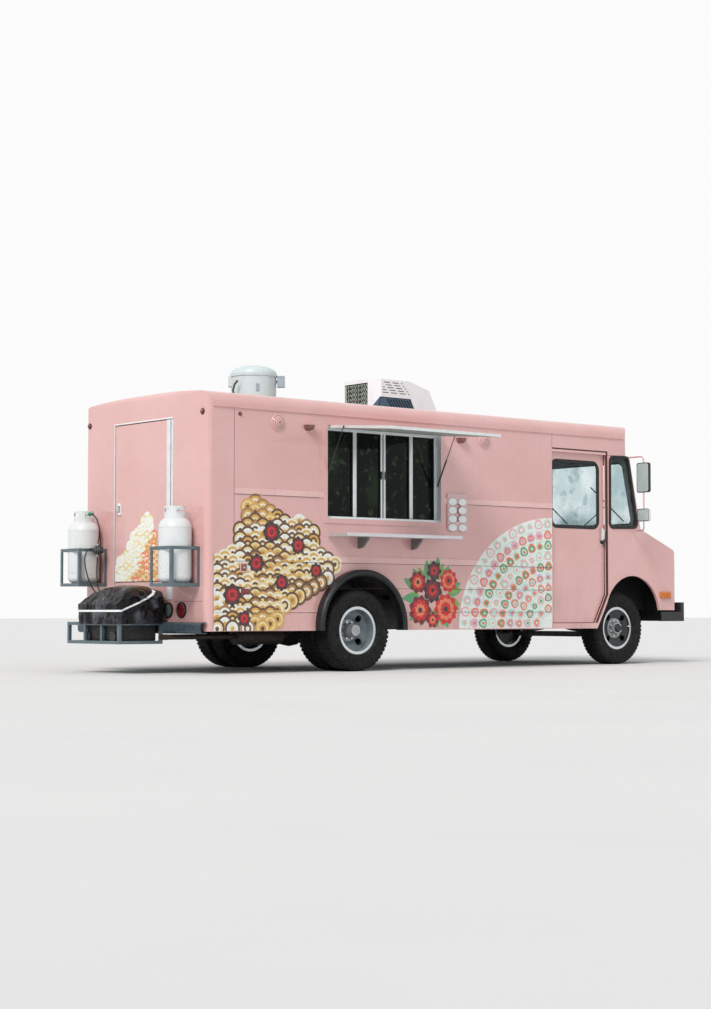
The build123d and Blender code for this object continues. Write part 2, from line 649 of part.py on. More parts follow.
# Black rubber flares on the rear arches, their outer edges broken
FLARE_EDGE = 18
outer_y = -HALF_W - FLARE_OUT
flare = rear_arch(REAR_ARCH_R + FLARE_BAND, outer_y, -HALF_W) - rear_arch(REAR_ARCH_R, outer_y - 10, 0)
flare -= box(REAR_ARCH_X - 900, REAR_ARCH_X + 900, -HALF_W - 200, 0, SKIRT_Z - 100, SKIRT_Z)
round_edges = [e for e in flare.edges() if e.geom_type == GeomType.CIRCLE]
lips = [e for e in round_edges if abs(e.center().Y - outer_y) < 1]
flare = flare.chamfer(FLARE_EDGE, None, lips)
save("wheel_flares", *both(flare))

# Floor panel, cut round the wheelhouses, the step wells and the engine
STEP_Z = 440
STEP_Y = 660
STEP_T = 12
COVER_HALF_W = 330
COVER_Z = 1060
COVER_X = 1400
COVER_T = 15
DASH_X = 1950
FRONT_HOUSE_Y = 540
FRONT_HOUSE_Z = 1006
HOUSE_REAR_X = 1486
FIREWALL_T = 10
FIREWALL_X = foot_x - WALL
FIREWALL_Z = 1445
floor_y = INNER_Y - SEAT_GAP
floor_low = FLOOR_Z - FLOOR_T
well_rear_x = DOOR_REAR_X - STEP_T
house_inner_y = FRONT_HOUSE_Y - WHEELHOUSE_T
step_inner_y = STEP_Y - STEP_T
arch_reach = REAR_ARCH_R + WHEELHOUSE_T


def panel(x0, x1, half):
    return box(x0, x1, -half, half, floor_low, FLOOR_Z)


floor = panel(REAR_X, well_rear_x - SEAT_GAP, floor_y) & body_box(WALL + SEAT_GAP)
floor += panel(well_rear_x - STEP_T, HOUSE_REAR_X - SEAT_GAP, step_inner_y - SEAT_GAP)
floor += panel(HOUSE_REAR_X - STEP_T, FIREWALL_X - FIREWALL_T - SEAT_GAP, house_inner_y - SEAT_GAP)
floor -= box(COVER_X + COVER_T, FIREWALL_X, -COVER_HALF_W + COVER_T, COVER_HALF_W - COVER_T, floor_low - 10,
             FLOOR_Z + 10)
for side in (-1, 1):
    floor -= rear_arch(arch_reach + SEAT_GAP, side * (WHEELHOUSE_Y - WHEELHOUSE_T - SEAT_GAP), side * HALF_W)
    floor -= box(DOOR_BAY_REAR - 20, DOOR_REAR_X, side * DOOR_BAY_Y, side * HALF_W, SKIRT_Z, GUTTER_Z)
save("floor", floor)

# Wheelhouses: the rear pair stand in the floor, the front pair run back into the step wells.
# The front outline is the top of the sheet, from the step well forward.
house_top = [(HOUSE_REAR_X, STEP_Z), (HOUSE_REAR_X, 640), (1634, 900), (1760, FRONT_HOUSE_Z),
             (2560, FRONT_HOUSE_Z)]
house_under = [(2560, FRONT_HOUSE_Z - STEP_T), (1764, FRONT_HOUSE_Z - STEP_T), (1644, 894),
               (HOUSE_REAR_X + STEP_T, 637), (HOUSE_REAR_X + STEP_T, STEP_Z)]
house_cheek = [(1554, floor_low), (1634, 900), (1760, FRONT_HOUSE_Z), (2560, FRONT_HOUSE_Z),
               (2560, floor_low)]


def rear_wheelhouse(side):
    house = rear_arch(arch_reach, side * (WHEELHOUSE_Y - WHEELHOUSE_T), side * floor_y)
    house -= rear_arch(REAR_ARCH_R, side * WHEELHOUSE_Y, side * HALF_W)
    return house & box(REAR_ARCH_X - 2 * REAR_ARCH_R, REAR_ARCH_X + 2 * REAR_ARCH_R, -HALF_W, HALF_W,
                       floor_low,
                       GUTTER_Z)


def front_wheelhouse(side):
    well_out = side * DOOR_BAY_Y
    house = side_prism(house_top + house_under, side * house_inner_y, side * floor_y)
    house += side_prism(house_cheek, side * house_inner_y, side * FRONT_HOUSE_Y)
    house -= box(DOOR_REAR_X, DOOR_POST_X, well_out, side * HALF_W, SKIRT_Z, GUTTER_Z)
    house += box(well_rear_x, HOUSE_REAR_X + STEP_T / 2, side * step_inner_y, well_out, STEP_Z,
                 STEP_Z + STEP_T)
    house += box(well_rear_x, HOUSE_REAR_X + STEP_T / 2, side * step_inner_y, side * STEP_Y, STEP_Z, FLOOR_Z)
    house += box(well_rear_x, DOOR_REAR_X, side * step_inner_y, well_out, STEP_Z, FLOOR_Z)
    return house


save("wheelhouses", *[house(side) for house in (rear_wheelhouse, front_wheelhouse) for side in (-1, 1)])

# Engine cover and firewall
firewall_rear_x = FIREWALL_X - FIREWALL_T
cover = box(COVER_X, firewall_rear_x - SEAT_GAP, -COVER_HALF_W, COVER_HALF_W, FLOOR_Z + SEAT_GAP, COVER_Z)
cover_inside = box(COVER_X + COVER_T, FIREWALL_X + 10, -COVER_HALF_W + COVER_T, COVER_HALF_W - COVER_T,
                   floor_low - 10, COVER_Z - COVER_T)
firewall = box(firewall_rear_x, FIREWALL_X, -house_inner_y + SEAT_GAP, house_inner_y - SEAT_GAP, floor_low,
               FIREWALL_Z)
firewall += box(firewall_rear_x, FIREWALL_X, -floor_y, floor_y, FRONT_HOUSE_Z + SEAT_GAP, FIREWALL_Z)
save("engine_cover", cover - cover_inside, firewall - cover_inside)

# Dash and steering wheel
DASH_Z = 1180
DASH_TOP_Z = 1430
DASH_END_GAP = 60
dash = side_prism([(firewall_rear_x, DASH_Z), (DASH_X, DASH_Z), (DASH_X - 20, DASH_TOP_Z - 100),
                   (DASH_X + 60, DASH_TOP_Z - 30), (firewall_rear_x, DASH_TOP_Z)],
                  -floor_y + DASH_END_GAP, floor_y - DASH_END_GAP)
WHEEL_Y = 480
STEERING_R = 205
STEERING_GRIP_R = 15
SPOKE_R = 9
COLUMN_R = 24
COLUMN = ((DASH_X + 20, WHEEL_Y, DASH_Z + 70), (DASH_X - 190, WHEEL_Y, DASH_Z + 150))
axis = Vector(*COLUMN[1]) - Vector(*COLUMN[0])
hub_plane = Plane(origin=COLUMN[1], z_dir=axis)
corners = [(STEERING_R + STEERING_GRIP_R * cos(a),
            STEERING_GRIP_R * sin(a)) for a in (k * pi / 3 for k in range(6))]
grip = Wire.make_polygon([hub_plane.from_local_coords(Vector(r, 0, h)) for r, h in corners], close=True)
ring = Solid.revolve(Face(grip), 360, Axis(COLUMN[1], axis))
spokes = [rod(COLUMN[1], hub_plane.from_local_coords(Vector(STEERING_R * cos(a), STEERING_R * sin(a), 0)),
              SPOKE_R)
          for a in (radians(20), radians(160), radians(270))]
dash = fused([dash, rod(*COLUMN, COLUMN_R), ring] + spokes)
save("dash", dash)

# Driver's seat on its post
SEAT_X = 1330
SEAT_Z = 1160
CUSHION_H = 110
CUSHION_HALF = 230
BACK_H = 700
BACK_T = 100
BACK_LEAN = 90
POST_R = 50
seat = box(SEAT_X - CUSHION_HALF, SEAT_X + CUSHION_HALF, WHEEL_Y - CUSHION_HALF - 10,
           WHEEL_Y + CUSHION_HALF + 10,
           SEAT_Z, SEAT_Z + CUSHION_H)
back_x = SEAT_X - CUSHION_HALF
seat += side_prism([(back_x, SEAT_Z + 40), (back_x + BACK_T, SEAT_Z + 40),
                    (back_x + BACK_T - BACK_LEAN, SEAT_Z + BACK_H),
                    (back_x - BACK_LEAN, SEAT_Z + BACK_H)], WHEEL_Y - CUSHION_HALF, WHEEL_Y + CUSHION_HALF)
seat += rod((SEAT_X, WHEEL_Y - POST_R, FLOOR_Z), (SEAT_X, WHEEL_Y - POST_R, SEAT_Z), POST_R)
save("seat", seat)

# Frame: two channel rails, crossmembers between their webs, and outriggers under the floor
CROSSMEMBERS_X = (-3600, -2700, -1100, -200, 700, 1060, 2730)
OUTRIGGERS_X = (-3300, -2700, -1100, -200, 600)
MEMBER_W = 60
MEMBER_DROP = 50
rail_top = floor_low
rail_low = rail_top - RAIL_H
web_y, tip_y = RAIL_Y + RAIL_W / 2, RAIL_Y - RAIL_W / 2
members = []
for side in (-1, 1):
    rail = box(RAIL_REAR_X, RAIL_FRONT_X, side * tip_y, side * web_y, rail_low, rail_top)
    rail -= box(RAIL_REAR_X - 10, RAIL_FRONT_X + 10, side * (tip_y - 10), side * (web_y - RAIL_T),
                rail_low + RAIL_T,
                rail_top - RAIL_T)
    members.append(rail)
    for x in OUTRIGGERS_X:
        members.append(box(x - MEMBER_W / 2, x + MEMBER_W / 2, side * (web_y + SEAT_GAP),
                           side * (DOOR_BAY_Y - 5),
                           rail_top - MEMBER_W, rail_top))
for x in CROSSMEMBERS_X:
    half = web_y - RAIL_T - SEAT_GAP
    members.append(box(x - MEMBER_W / 2, x + MEMBER_W / 2, -half, half, rail_low + MEMBER_DROP,
                       rail_top - RAIL_T - SEAT_GAP))
save("frame_rails", *members)

# Axles and springs
AXLE_R = 50
DRUM_R = 165
hub_inner_y = REAR_OUTER_Y - DUAL_SPACING - TYRE_W / 2
axle_z = TYRE_R
AXLE_STUB_Y = REAR_OUTER_Y - DUAL_SPACING / 2
HOUSING_HALF_H = 170
HOUSING_R = 165
DRUM_INNER_Y = hub_inner_y - 85
DRUM_OUTER_Y = hub_inner_y - 15
housing = rod((REAR_AXLE_X, -DRUM_INNER_Y + SEAT_GAP, axle_z),
              (REAR_AXLE_X, DRUM_INNER_Y - SEAT_GAP, axle_z), AXLE_R)
housing += upright([(0, axle_z - HOUSING_HALF_H), (90, axle_z - 150), (HOUSING_R, axle_z - 40),
                    (HOUSING_R, axle_z + 40), (90, axle_z + 150), (0,
                                                                   axle_z + HOUSING_HALF_H)], REAR_AXLE_X, 0)
drum = rod((REAR_AXLE_X, DRUM_INNER_Y, axle_z), (REAR_AXLE_X, DRUM_OUTER_Y, axle_z), DRUM_R)
drum += rod((REAR_AXLE_X, DRUM_INNER_Y, axle_z), (REAR_AXLE_X, AXLE_STUB_Y, axle_z), SPINDLE_R)
SHAFT_R = 45
SHAFT_TILT_GAP = 3
GEARBOX_X = 1150
GEARBOX_Z = 590
shaft = rod((REAR_AXLE_X + HOUSING_R + SHAFT_TILT_GAP, 0, axle_z + 10),
            (GEARBOX_X - SHAFT_TILT_GAP, 0, GEARBOX_Z),
            SHAFT_R)
save("rear_axle", housing, *both(drum), shaft)

BEAM_Z = 330
BEAM_H = 60
front_axle = box(FRONT_X - 32, FRONT_X + 32, -KINGPIN_Y + 110, KINGPIN_Y - 110, BEAM_Z - BEAM_H / 2,
                 BEAM_Z + BEAM_H / 2)
KNUCKLE_EYE_H = 70
for side in (-1, 1):
    end = side * KINGPIN_Y
    near = side * (KINGPIN_Y - 130)
    neck = side * (KINGPIN_Y - 46)
    front_axle += front_prism([(near, BEAM_Z - BEAM_H / 2), (near, BEAM_Z + BEAM_H / 2),
                               (neck, axle_z + KNUCKLE_EYE_H / 2), (end, axle_z + KNUCKLE_EYE_H / 2),
                               (end, axle_z - KNUCKLE_EYE_H / 2), (neck, axle_z - KNUCKLE_EYE_H / 2)],
                              FRONT_X - 30, FRONT_X + 30)
    front_axle += rod((FRONT_X, end, axle_z - KNUCKLE_EYE_H / 2),
                      (FRONT_X, end, axle_z + KNUCKLE_EYE_H / 2), 32)
KINGPIN_R = 16
for side in (-1, 1):
    end = side * KINGPIN_Y
    front_axle -= rod((FRONT_X, end, axle_z - 200), (FRONT_X, end, axle_z + 200), KINGPIN_R + BEARING_GAP)
save("front_axle", front_axle)

# Knuckle: a yoke above and below the axle eye, the kingpin, and the spindle
YOKE_T = 30
YOKE_GAP = 1
eye_low, eye_high = axle_z - KNUCKLE_EYE_H / 2 - YOKE_GAP, axle_z + KNUCKLE_EYE_H / 2 + YOKE_GAP
SPINDLE_END_Y = FRONT_WHEEL_Y + 60


def knuckle(side):
    y = side * KINGPIN_Y
    out = side * (KINGPIN_Y + 62)
    low, high = min(y, out), max(y, out)
    body = rod((FRONT_X, y, eye_low - YOKE_T), (FRONT_X, y, eye_high + YOKE_T), KINGPIN_R)
    for z in (eye_low - YOKE_T, eye_high):
        body += rod((FRONT_X, y, z), (FRONT_X, y, z + YOKE_T), 34)
        body += box(FRONT_X - 30, FRONT_X + 30, low, high, z, z + YOKE_T)
    plate = side * (KINGPIN_Y + 38)
    body += box(FRONT_X - 45, FRONT_X + 45, min(plate, out), max(plate, out), eye_low - YOKE_T,
                eye_high + YOKE_T)
    tip = side * SPINDLE_END_Y
    body += rod((FRONT_X, min(plate, tip), axle_z), (FRONT_X, max(plate, tip), axle_z), SPINDLE_R)
    return body


save("knuckle_right", knuckle(-1))
save("knuckle_left", knuckle(1))

SPRING_W = 60
SPRING_T = 40


def spring(x, centre_z, half_length):
    y0, y1 = RAIL_Y - SPRING_W / 2, RAIL_Y + SPRING_W / 2
    end_z = rail_low - 45
    arc = [ThreePointArc((x - half_length, y0, end_z), (x, y0, centre_z), (x + half_length, y0, end_z)),
           Line((x + half_length, y0, end_z), (x + half_length, y0, end_z + SPRING_T)),
           ThreePointArc((x + half_length, y0, end_z + SPRING_T), (x, y0, centre_z + SPRING_T),
                         (x - half_length, y0, end_z + SPRING_T)),
           Line((x - half_length, y0, end_z + SPRING_T), (x - half_length, y0, end_z))]
    leaf = Solid.extrude(Face(Wire(arc)), Vector(0, y1 - y0, 0))
    for end in (-1, 1):
        hanger_x = x + end * (half_length - 25)
        leaf += box(hanger_x - 25, hanger_x + 25, y0, y1, end_z + 10, rail_low)
    return leaf


springs = both(spring(REAR_AXLE_X, axle_z + AXLE_R, 640)) + both(spring(FRONT_X, BEAM_Z + BEAM_H / 2, 560))
save("leaf_springs", *springs)

# Gearbox, engine, fan drive and radiator as plain blocks: rear end, front end, half width, low, high
ENGINE_X = COVER_X + 60
ENGINE_FRONT_X = 2330
RADIATOR_X = 2560
ENGINE_HALF_W = 250
MOUNT_H = 40
engine_blocks = (
    (GEARBOX_X, ENGINE_X, 150, 500, 740),
    (ENGINE_X, ENGINE_FRONT_X, ENGINE_HALF_W, 500, COVER_Z - 80),
    (ENGINE_FRONT_X, RADIATOR_X, 60, 620, 760),
    (RADIATOR_X, RADIATOR_X + 60, 360, 640, 1150),
)
blocks = [box(x0, x1 - SEAT_GAP, -half, half, z0, z1) for x0, x1, half, z0, z1 in engine_blocks]
engine_mount = box(ENGINE_X + 140, ENGINE_X + 200, ENGINE_HALF_W + SEAT_GAP, web_y - RAIL_T - SEAT_GAP,
                   rail_low + RAIL_T + SEAT_GAP, rail_low + RAIL_T + MOUNT_H)
save("engine", *blocks, *both(engine_mount))

# Fuel tank on the left rail and exhaust on the right
FUEL_X0, FUEL_X1 = -100, 800
FUEL_Z0, FUEL_Z1 = 430, 690
FUEL_EDGE_R = 40
FUEL_WALL_GAP = 137
fuel_tank = side_prism(rectangle(FUEL_X0, FUEL_X1, FUEL_Z0, FUEL_Z1), web_y, INNER_Y - FUEL_WALL_GAP,
                       FUEL_EDGE_R)
save("fuel_tank", fuel_tank)
PIPE_R = 25
TAIL_TIP_R = 27
TAIL_TIP_L = 80
MUFFLER_R = 80
TAIL_Y = -560
TAIL_Z = 345
TAIL_END_X = -3900
MUFFLER_X0, MUFFLER_X1 = -3050, -2500
MUFFLER_HANGER_X = -2960
PIPE_HANGERS_X = (-570, 390)
HANGER_T = 20
PIPE_Y = 500
PIPE_Z = 500
MANIFOLD_Y, MANIFOLD_Z = -200, 560
pipe_route = [(COVER_X + 60, MANIFOLD_Y, MANIFOLD_Z), (1300, MANIFOLD_Y, MANIFOLD_Z),
              (1150, MANIFOLD_Y - 100, PIPE_Z),
              (900, -PIPE_Y, PIPE_Z), (-2150, -PIPE_Y, PIPE_Z), (MUFFLER_X1 + 50, TAIL_Y, TAIL_Z),
              (TAIL_END_X, TAIL_Y, TAIL_Z)]
exhaust = rod(pipe_route[0], pipe_route[1], PIPE_R)
for joint, after in zip(pipe_route[1:], pipe_route[2:]):
    exhaust += Solid.make_sphere(PIPE_R, Plane(joint), angle1=-90, angle2=90)
    exhaust += rod(joint, after, PIPE_R)
exhaust += rod((TAIL_END_X + TAIL_TIP_L, TAIL_Y, TAIL_Z), (TAIL_END_X, TAIL_Y, TAIL_Z), TAIL_TIP_R)
exhaust += rod((MUFFLER_X0, TAIL_Y, TAIL_Z), (MUFFLER_X1, TAIL_Y, TAIL_Z), MUFFLER_R)
for x in PIPE_HANGERS_X:
    exhaust += box(x, x + HANGER_T, -PIPE_Y, -web_y, PIPE_Z + 15, rail_low + 30)
exhaust += box(MUFFLER_HANGER_X, MUFFLER_HANGER_X + HANGER_T, TAIL_Y - 10, TAIL_Y + 10,
               TAIL_Z + MUFFLER_R - 20,
               rail_low + 80)
exhaust += box(MUFFLER_HANGER_X, MUFFLER_HANGER_X + HANGER_T, TAIL_Y + 10, -web_y, rail_low + 20,
               rail_low + 80)
save("exhaust", exhaust)

# Tyres and rims. Places along the axle are outward from the tyre's middle.
# The rim's flanges stand outside the tyre's beads.
BARREL_T = 14
FLANGE_H = 13
FLANGE_T = 8
half_rim = RIM_W / 2
BEAD_Y = half_rim - FLANGE_T - SEAT_GAP
# (radius, place) of the tyre's outer half, from bead to tread
TYRE_HALF = [(RIM_R + SEAT_GAP, BEAD_Y), (RIM_R + FLANGE_H + 2, BEAD_Y), (250, 106), (310, TYRE_W / 2),
             (362, 112),
             (389, 99), (TYRE_R, 82)]
TYRE_SECTION = [(r, -s) for r, s in TYRE_HALF] + TYRE_HALF[::-1]


def tyre(x, y):
    return spun(TYRE_SECTION, x, y, axle_z)


def rim(x, y, out, disc_at):
    # out is +1 or -1, the outward way along Y; disc_at is the mounting face, outward from the middle
    flange = RIM_R + FLANGE_H
    seat_end = half_rim - FLANGE_T
    barrel = spun([(RIM_R - BARREL_T, -half_rim), (flange, -half_rim), (flange, -seat_end),
                   (RIM_R, -seat_end),
                   (RIM_R, seat_end), (flange, seat_end), (flange, half_rim), (RIM_R - BARREL_T, half_rim)],
                  x, y, axle_z)
    lean = 28 if disc_at > 0 else 52
    face = spun([(SPINDLE_R + BEARING_GAP, out * disc_at), (112, out * disc_at),
                 (150, out * (disc_at + lean * 0.6)),
                 (RIM_R - BARREL_T + 4, out * (disc_at + lean)), (RIM_R - BARREL_T + 4,
                                                                  out * (disc_at + lean - 16)),
                 (156, out * (disc_at + lean * 0.6 - 13)), (112, out * (disc_at - 14)),
                 (SPINDLE_R + BEARING_GAP, out * (disc_at - 14))], x, y, axle_z)
    for index in range(4):
        angle = pi / 4 + index * pi / 2
        hx, hz = x + 160 * cos(angle), axle_z + 160 * sin(angle)
        face -= disc(hx, hz, 34, y - 150, y + 150)
    return barrel + face


def hub(x, y, out, start, end, radius):
    ring = [(SPINDLE_R + BEARING_GAP, out * start), (radius, out * start), (radius, out * end),
            (SPINDLE_R + BEARING_GAP, out * end)]
    return spun(ring, x, y, axle_z)


FRONT_DISC = 42
REAR_DISC = -DUAL_SPACING / 2 + 6
CAP_R = 46
for side, name in ((-1, "right"), (1, "left")):
    y = side * FRONT_WHEEL_Y
    save(f"tyre_front_{name}", tyre(FRONT_X, y))
    wheel = rim(FRONT_X, y, side, FRONT_DISC)
    wheel += hub(FRONT_X, y, side, -20, FRONT_DISC + 50, 62)
    wheel += spun([(0, side * (FRONT_DISC + 50)), (CAP_R, side * (FRONT_DISC + 50)),
                   (CAP_R, side * (FRONT_DISC + 62)),
                   (CAP_R - 8, side * (FRONT_DISC + 78)), (0, side * (FRONT_DISC + 78))], FRONT_X, y, axle_z)
    save(f"rim_front_{name}", wheel)

    outer_y, inner_y = side * REAR_OUTER_Y, side * (REAR_OUTER_Y - DUAL_SPACING)
    save(f"tyres_rear_{name}", tyre(REAR_AXLE_X, outer_y), tyre(REAR_AXLE_X, inner_y))
    wheel = rim(REAR_AXLE_X, outer_y, side, -70)
    wheel += rim(REAR_AXLE_X, inner_y, -side, -70)
    wheel += hub(REAR_AXLE_X, outer_y, side, -DUAL_SPACING + 60, 0, 70)
    wheel += spun([(0, 0), (70, 0), (60, side * 30), (55, side * 60), (0, side * 60)], REAR_AXLE_X, outer_y,
                  axle_z)
    save(f"rims_rear_{name}", wheel)

# Front bumper: the face bar, two brackets on the rails and the ends turned back along the body
FACE_X0, FACE_X1 = 2892, 2945
FACE_Z0, FACE_Z1 = 475, 689
BUMPER_BRACKET_W = 100
BUMPER_BRACKET_H = 70
BUMPER_END_X = 2560
BUMPER_END_T = 20
front_bumper = box(FACE_X0, FACE_X1, -HALF_W, HALF_W, FACE_Z0, FACE_Z1)
for side in (-1, 1):
    near, far = side * (RAIL_Y - 70), side * (RAIL_Y - 70 + BUMPER_BRACKET_W)
    front_bumper += box(RAIL_FRONT_X - 90, FACE_X0, near, far, rail_low - BUMPER_BRACKET_H, rail_low)
    front_bumper += box(BUMPER_END_X, FACE_X0, side * (HALF_W - BUMPER_END_T), side * HALF_W, FACE_Z0,
                        NOSE_Z - 20)
save("front_bumper", front_bumper)

# Rear bumper, rack, cages and tanks
BUMPER_T = 8
BUMPER_R = 34
bumper_face = REAR_X - BUMPER_OUT


def bumper_section(inset):
    outline = side_face(rectangle(bumper_face + inset, REAR_X + inset, BUMPER_Z0 + inset, BUMPER_Z1 - inset),
                        -HALF_W).outer_wire()
    outline = outline.fillet_2d(BUMPER_R - inset,
                                [v for v in outline.vertices() if v.X < bumper_face + inset + 1])
    return Solid.extrude(Face(outline), Vector(0, BODY_W, 0))


rear_bumper = bumper_section(0) - bumper_section(BUMPER_T)
for side in (-1, 1):
    near, far = side * (RAIL_Y - 30), side * (RAIL_Y + 30)
    rear_bumper += box(REAR_X, RAIL_REAR_X + 40, min(near, far), max(near, far), BUMPER_Z0,
                       SKIRT_Z - SEAT_GAP)
    rear_bumper += box(RAIL_REAR_X - 10, RAIL_REAR_X + 40, min(near, far), max(near, far), BUMPER_Z0,
                       rail_low)
save("rear_bumper", rear_bumper)

half = TUBE / 2
rails = []
for z in (RACK_Z0 + half, RACK_Z1 - half):
    rails.append(square_tube((RACK_X + half, -RACK_Y + half, z), (RACK_X + half, RACK_Y - half, z)))
    for side in (-1, 1):
        y = side * (RACK_Y - half)
        rails.append(square_tube((RACK_X + half, y, z), (bumper_face - half, y, z)))
for place in (-1, -1 / 3, 1 / 3, 1):
    y = place * (RACK_Y - half)
    rails.append(square_tube((RACK_X + half, y, RACK_Z0 + half), (RACK_X + half, y, RACK_Z1 - half)))
for side in (-1, 1):
    y = side * (RACK_Y - half)
    rails.append(square_tube((bumper_face - half, y, RACK_Z0 + half),
                             (bumper_face - half, y, RACK_Z1 - half)))
rails.append(box(RACK_X + 1, bumper_face - 1, -RACK_Y + 1, RACK_Y - 1, RACK_Z0 + 10, RACK_Z0 + 16))


def cage(y, z0):
    # folded and welded from angle: posts at the corners, a band round the top, a plate in the foot
    x_near, x_far = REAR_X, REAR_X - CAGE_OUT
    y0, y1 = y - CAGE_W / 2, y + CAGE_W / 2
    z1 = z0 + CAGE_H
    frame = box(x_far, x_near, y0, y1, z0, z1)
    frame -= box(x_far + CAGE_T, x_near - CAGE_T, y0 + CAGE_T, y1 - CAGE_T, z0 + CAGE_T, z1 + 10)
    frame -= box(x_far - 10, x_near + 10, y0 + TUBE, y1 - TUBE, z0 + TUBE, z1 - TUBE)
    frame -= box(x_far + TUBE, x_near - TUBE, y0 - 10, y1 + 10, z0 + TUBE, z1 - TUBE)
    return frame


save("rear_racks", fused(rails), *[cage(y, z0) for y, z0 in CAGES])

# Gas cylinders: foot ring, domed ends, and a collar round the valve
TANK_X = REAR_X - CAGE_OUT / 2
TANK_FOOT_R = 108
TANK_FOOT_H = 26
TANK_DOME = 88
TANK_NECK_R = 40
COLLAR_R = 101
COLLAR_H = 112
COLLAR_T = 4
VALVE_R = 17
VALVE_DROP = 34
VALVE_OUT_R = 11


def tank(y, z0):
    foot = z0 + CAGE_T + SEAT_GAP
    top = foot + TANK_H
    shoulder, neck = top - COLLAR_H - TANK_DOME + 12, top - COLLAR_H + 12
    belly = foot + TANK_FOOT_H / 2 + TANK_DOME
    bend = cos(pi / 4)
    outline = [
        Line((TANK_X, y, foot), (TANK_X + TANK_FOOT_R, y, foot)),
        Line((TANK_X + TANK_FOOT_R, y, foot), (TANK_X + TANK_FOOT_R, y, foot + TANK_FOOT_H)),
        ThreePointArc((TANK_X + TANK_FOOT_R, y, foot + TANK_FOOT_H),
                      (TANK_X + TANK_FOOT_R + (TANK_R - TANK_FOOT_R) * bend,
                       y, belly - (belly - foot - TANK_FOOT_H) * bend),
                      (TANK_X + TANK_R, y, belly)),
        Line((TANK_X + TANK_R, y, belly), (TANK_X + TANK_R, y, shoulder)),
        ThreePointArc((TANK_X + TANK_R, y, shoulder),
                      (TANK_X + TANK_NECK_R + (TANK_R - TANK_NECK_R) * bend, y,
                       shoulder + (neck - shoulder) * bend),
                      (TANK_X + TANK_NECK_R, y, neck)),
        Line((TANK_X + TANK_NECK_R, y, neck), (TANK_X, y, neck)),
        Line((TANK_X, y, neck), (TANK_X, y, foot)),
    ]
    body = Solid.revolve(Face(Wire(outline)), 360, Axis((TANK_X, y, 0), (0, 0, 1)))
    collar = rod((TANK_X, y, top - COLLAR_H), (TANK_X, y, top), COLLAR_R)
    collar -= rod((TANK_X, y, top - COLLAR_H - 10), (TANK_X, y, top + 10), COLLAR_R - COLLAR_T)
    collar -= box(TANK_X - 45, TANK_X + 45, y - 2 * COLLAR_R, y + 2 * COLLAR_R, top - 68, top - 16)
    collar -= box(TANK_X - 2 * COLLAR_R, TANK_X + 2 * COLLAR_R, y - 38, y + 38, top - 52, top - 20)
    valve = rod((TANK_X, y, neck - 1), (TANK_X, y, top - 14), VALVE_R)
    valve += rod((TANK_X, y, top - VALVE_DROP), (TANK_X, y - COLLAR_R, top - VALVE_DROP), VALVE_OUT_R)
    return body + collar + valve


save("propane_tanks", *[tank(y, z0) for y, z0 in CAGES])
valve_z = CAGES[1][1] + CAGE_T + SEAT_GAP + TANK_H - VALVE_DROP

# Generator under its cover, on the rack
COVER_FOOT_Z = RACK_Z1 + 2
COVER_PEAK_Z = 850
COVER_X0, COVER_X1 = RACK_X - 30, bumper_face + 20
COVER_Y0, COVER_Y1 = -RACK_Y - 20, 260
GENERATOR_INSET = TUBE + 10
generator = box(RACK_X + GENERATOR_INSET, bumper_face - GENERATOR_INSET, -RACK_Y + GENERATOR_INSET,
                COVER_Y1 - 10,
                RACK_Z0 + 16, COVER_FOOT_Z)
# the cloth over it, where its fall to front and back meets its fall to the sides
drape = side_prism([(COVER_X0, COVER_FOOT_Z), (COVER_X0, 640), (COVER_X0 + 70, 730),
                    (COVER_X0 + 250, COVER_PEAK_Z - 12),
                    (COVER_X0 + 370, COVER_PEAK_Z), (COVER_X1 - 60, COVER_PEAK_Z - 25), (COVER_X1, 770),
                    (COVER_X1, COVER_FOOT_Z)], COVER_Y0, COVER_Y1)
drape &= front_prism([(COVER_Y0, COVER_FOOT_Z), (COVER_Y0, 690), (COVER_Y0 + 70, 790),
                      (-250, COVER_PEAK_Z - 18),
                      (-70, COVER_PEAK_Z), (90, COVER_PEAK_Z - 40), (COVER_Y1 - 50, 720), (COVER_Y1, 640),
                      (COVER_Y1, COVER_FOOT_Z)], COVER_X0, COVER_X1)
save("generator", generator + drape)

# Regulator on the left cage's top rail, with its two hoses
cage_y, cage_z = CAGES[1]
cage_side = cage_y - CAGE_W / 2 - SEAT_GAP
REGULATOR_X = -3850
REGULATOR_R = 42
REGULATOR_T = 46
regulator_z = cage_z + CAGE_H - TUBE / 2
regulator_y = cage_side - REGULATOR_T / 2
save("gas_regulator", rod((REGULATOR_X, cage_side - REGULATOR_T, regulator_z),
                          (REGULATOR_X, cage_side, regulator_z),
                          REGULATOR_R))
HOSE_D = 12


def hose(points, name):
    route = [Vector(*p) for p in points]
    radii = []
    for before, here, after in zip(route, route[1:], route[2:]):
        shorter = min((here - before).length, (after - here).length)
        turn = radians((here - before).get_angle(after - here))
        radii.append(0.45 * shorter / tan(turn / 2))
    cord, length = bent_rod(points, radii, HOSE_D / 2)
    save(name, cord)
    print(name, "radii", [round(r) for r in radii], "length", round(length))


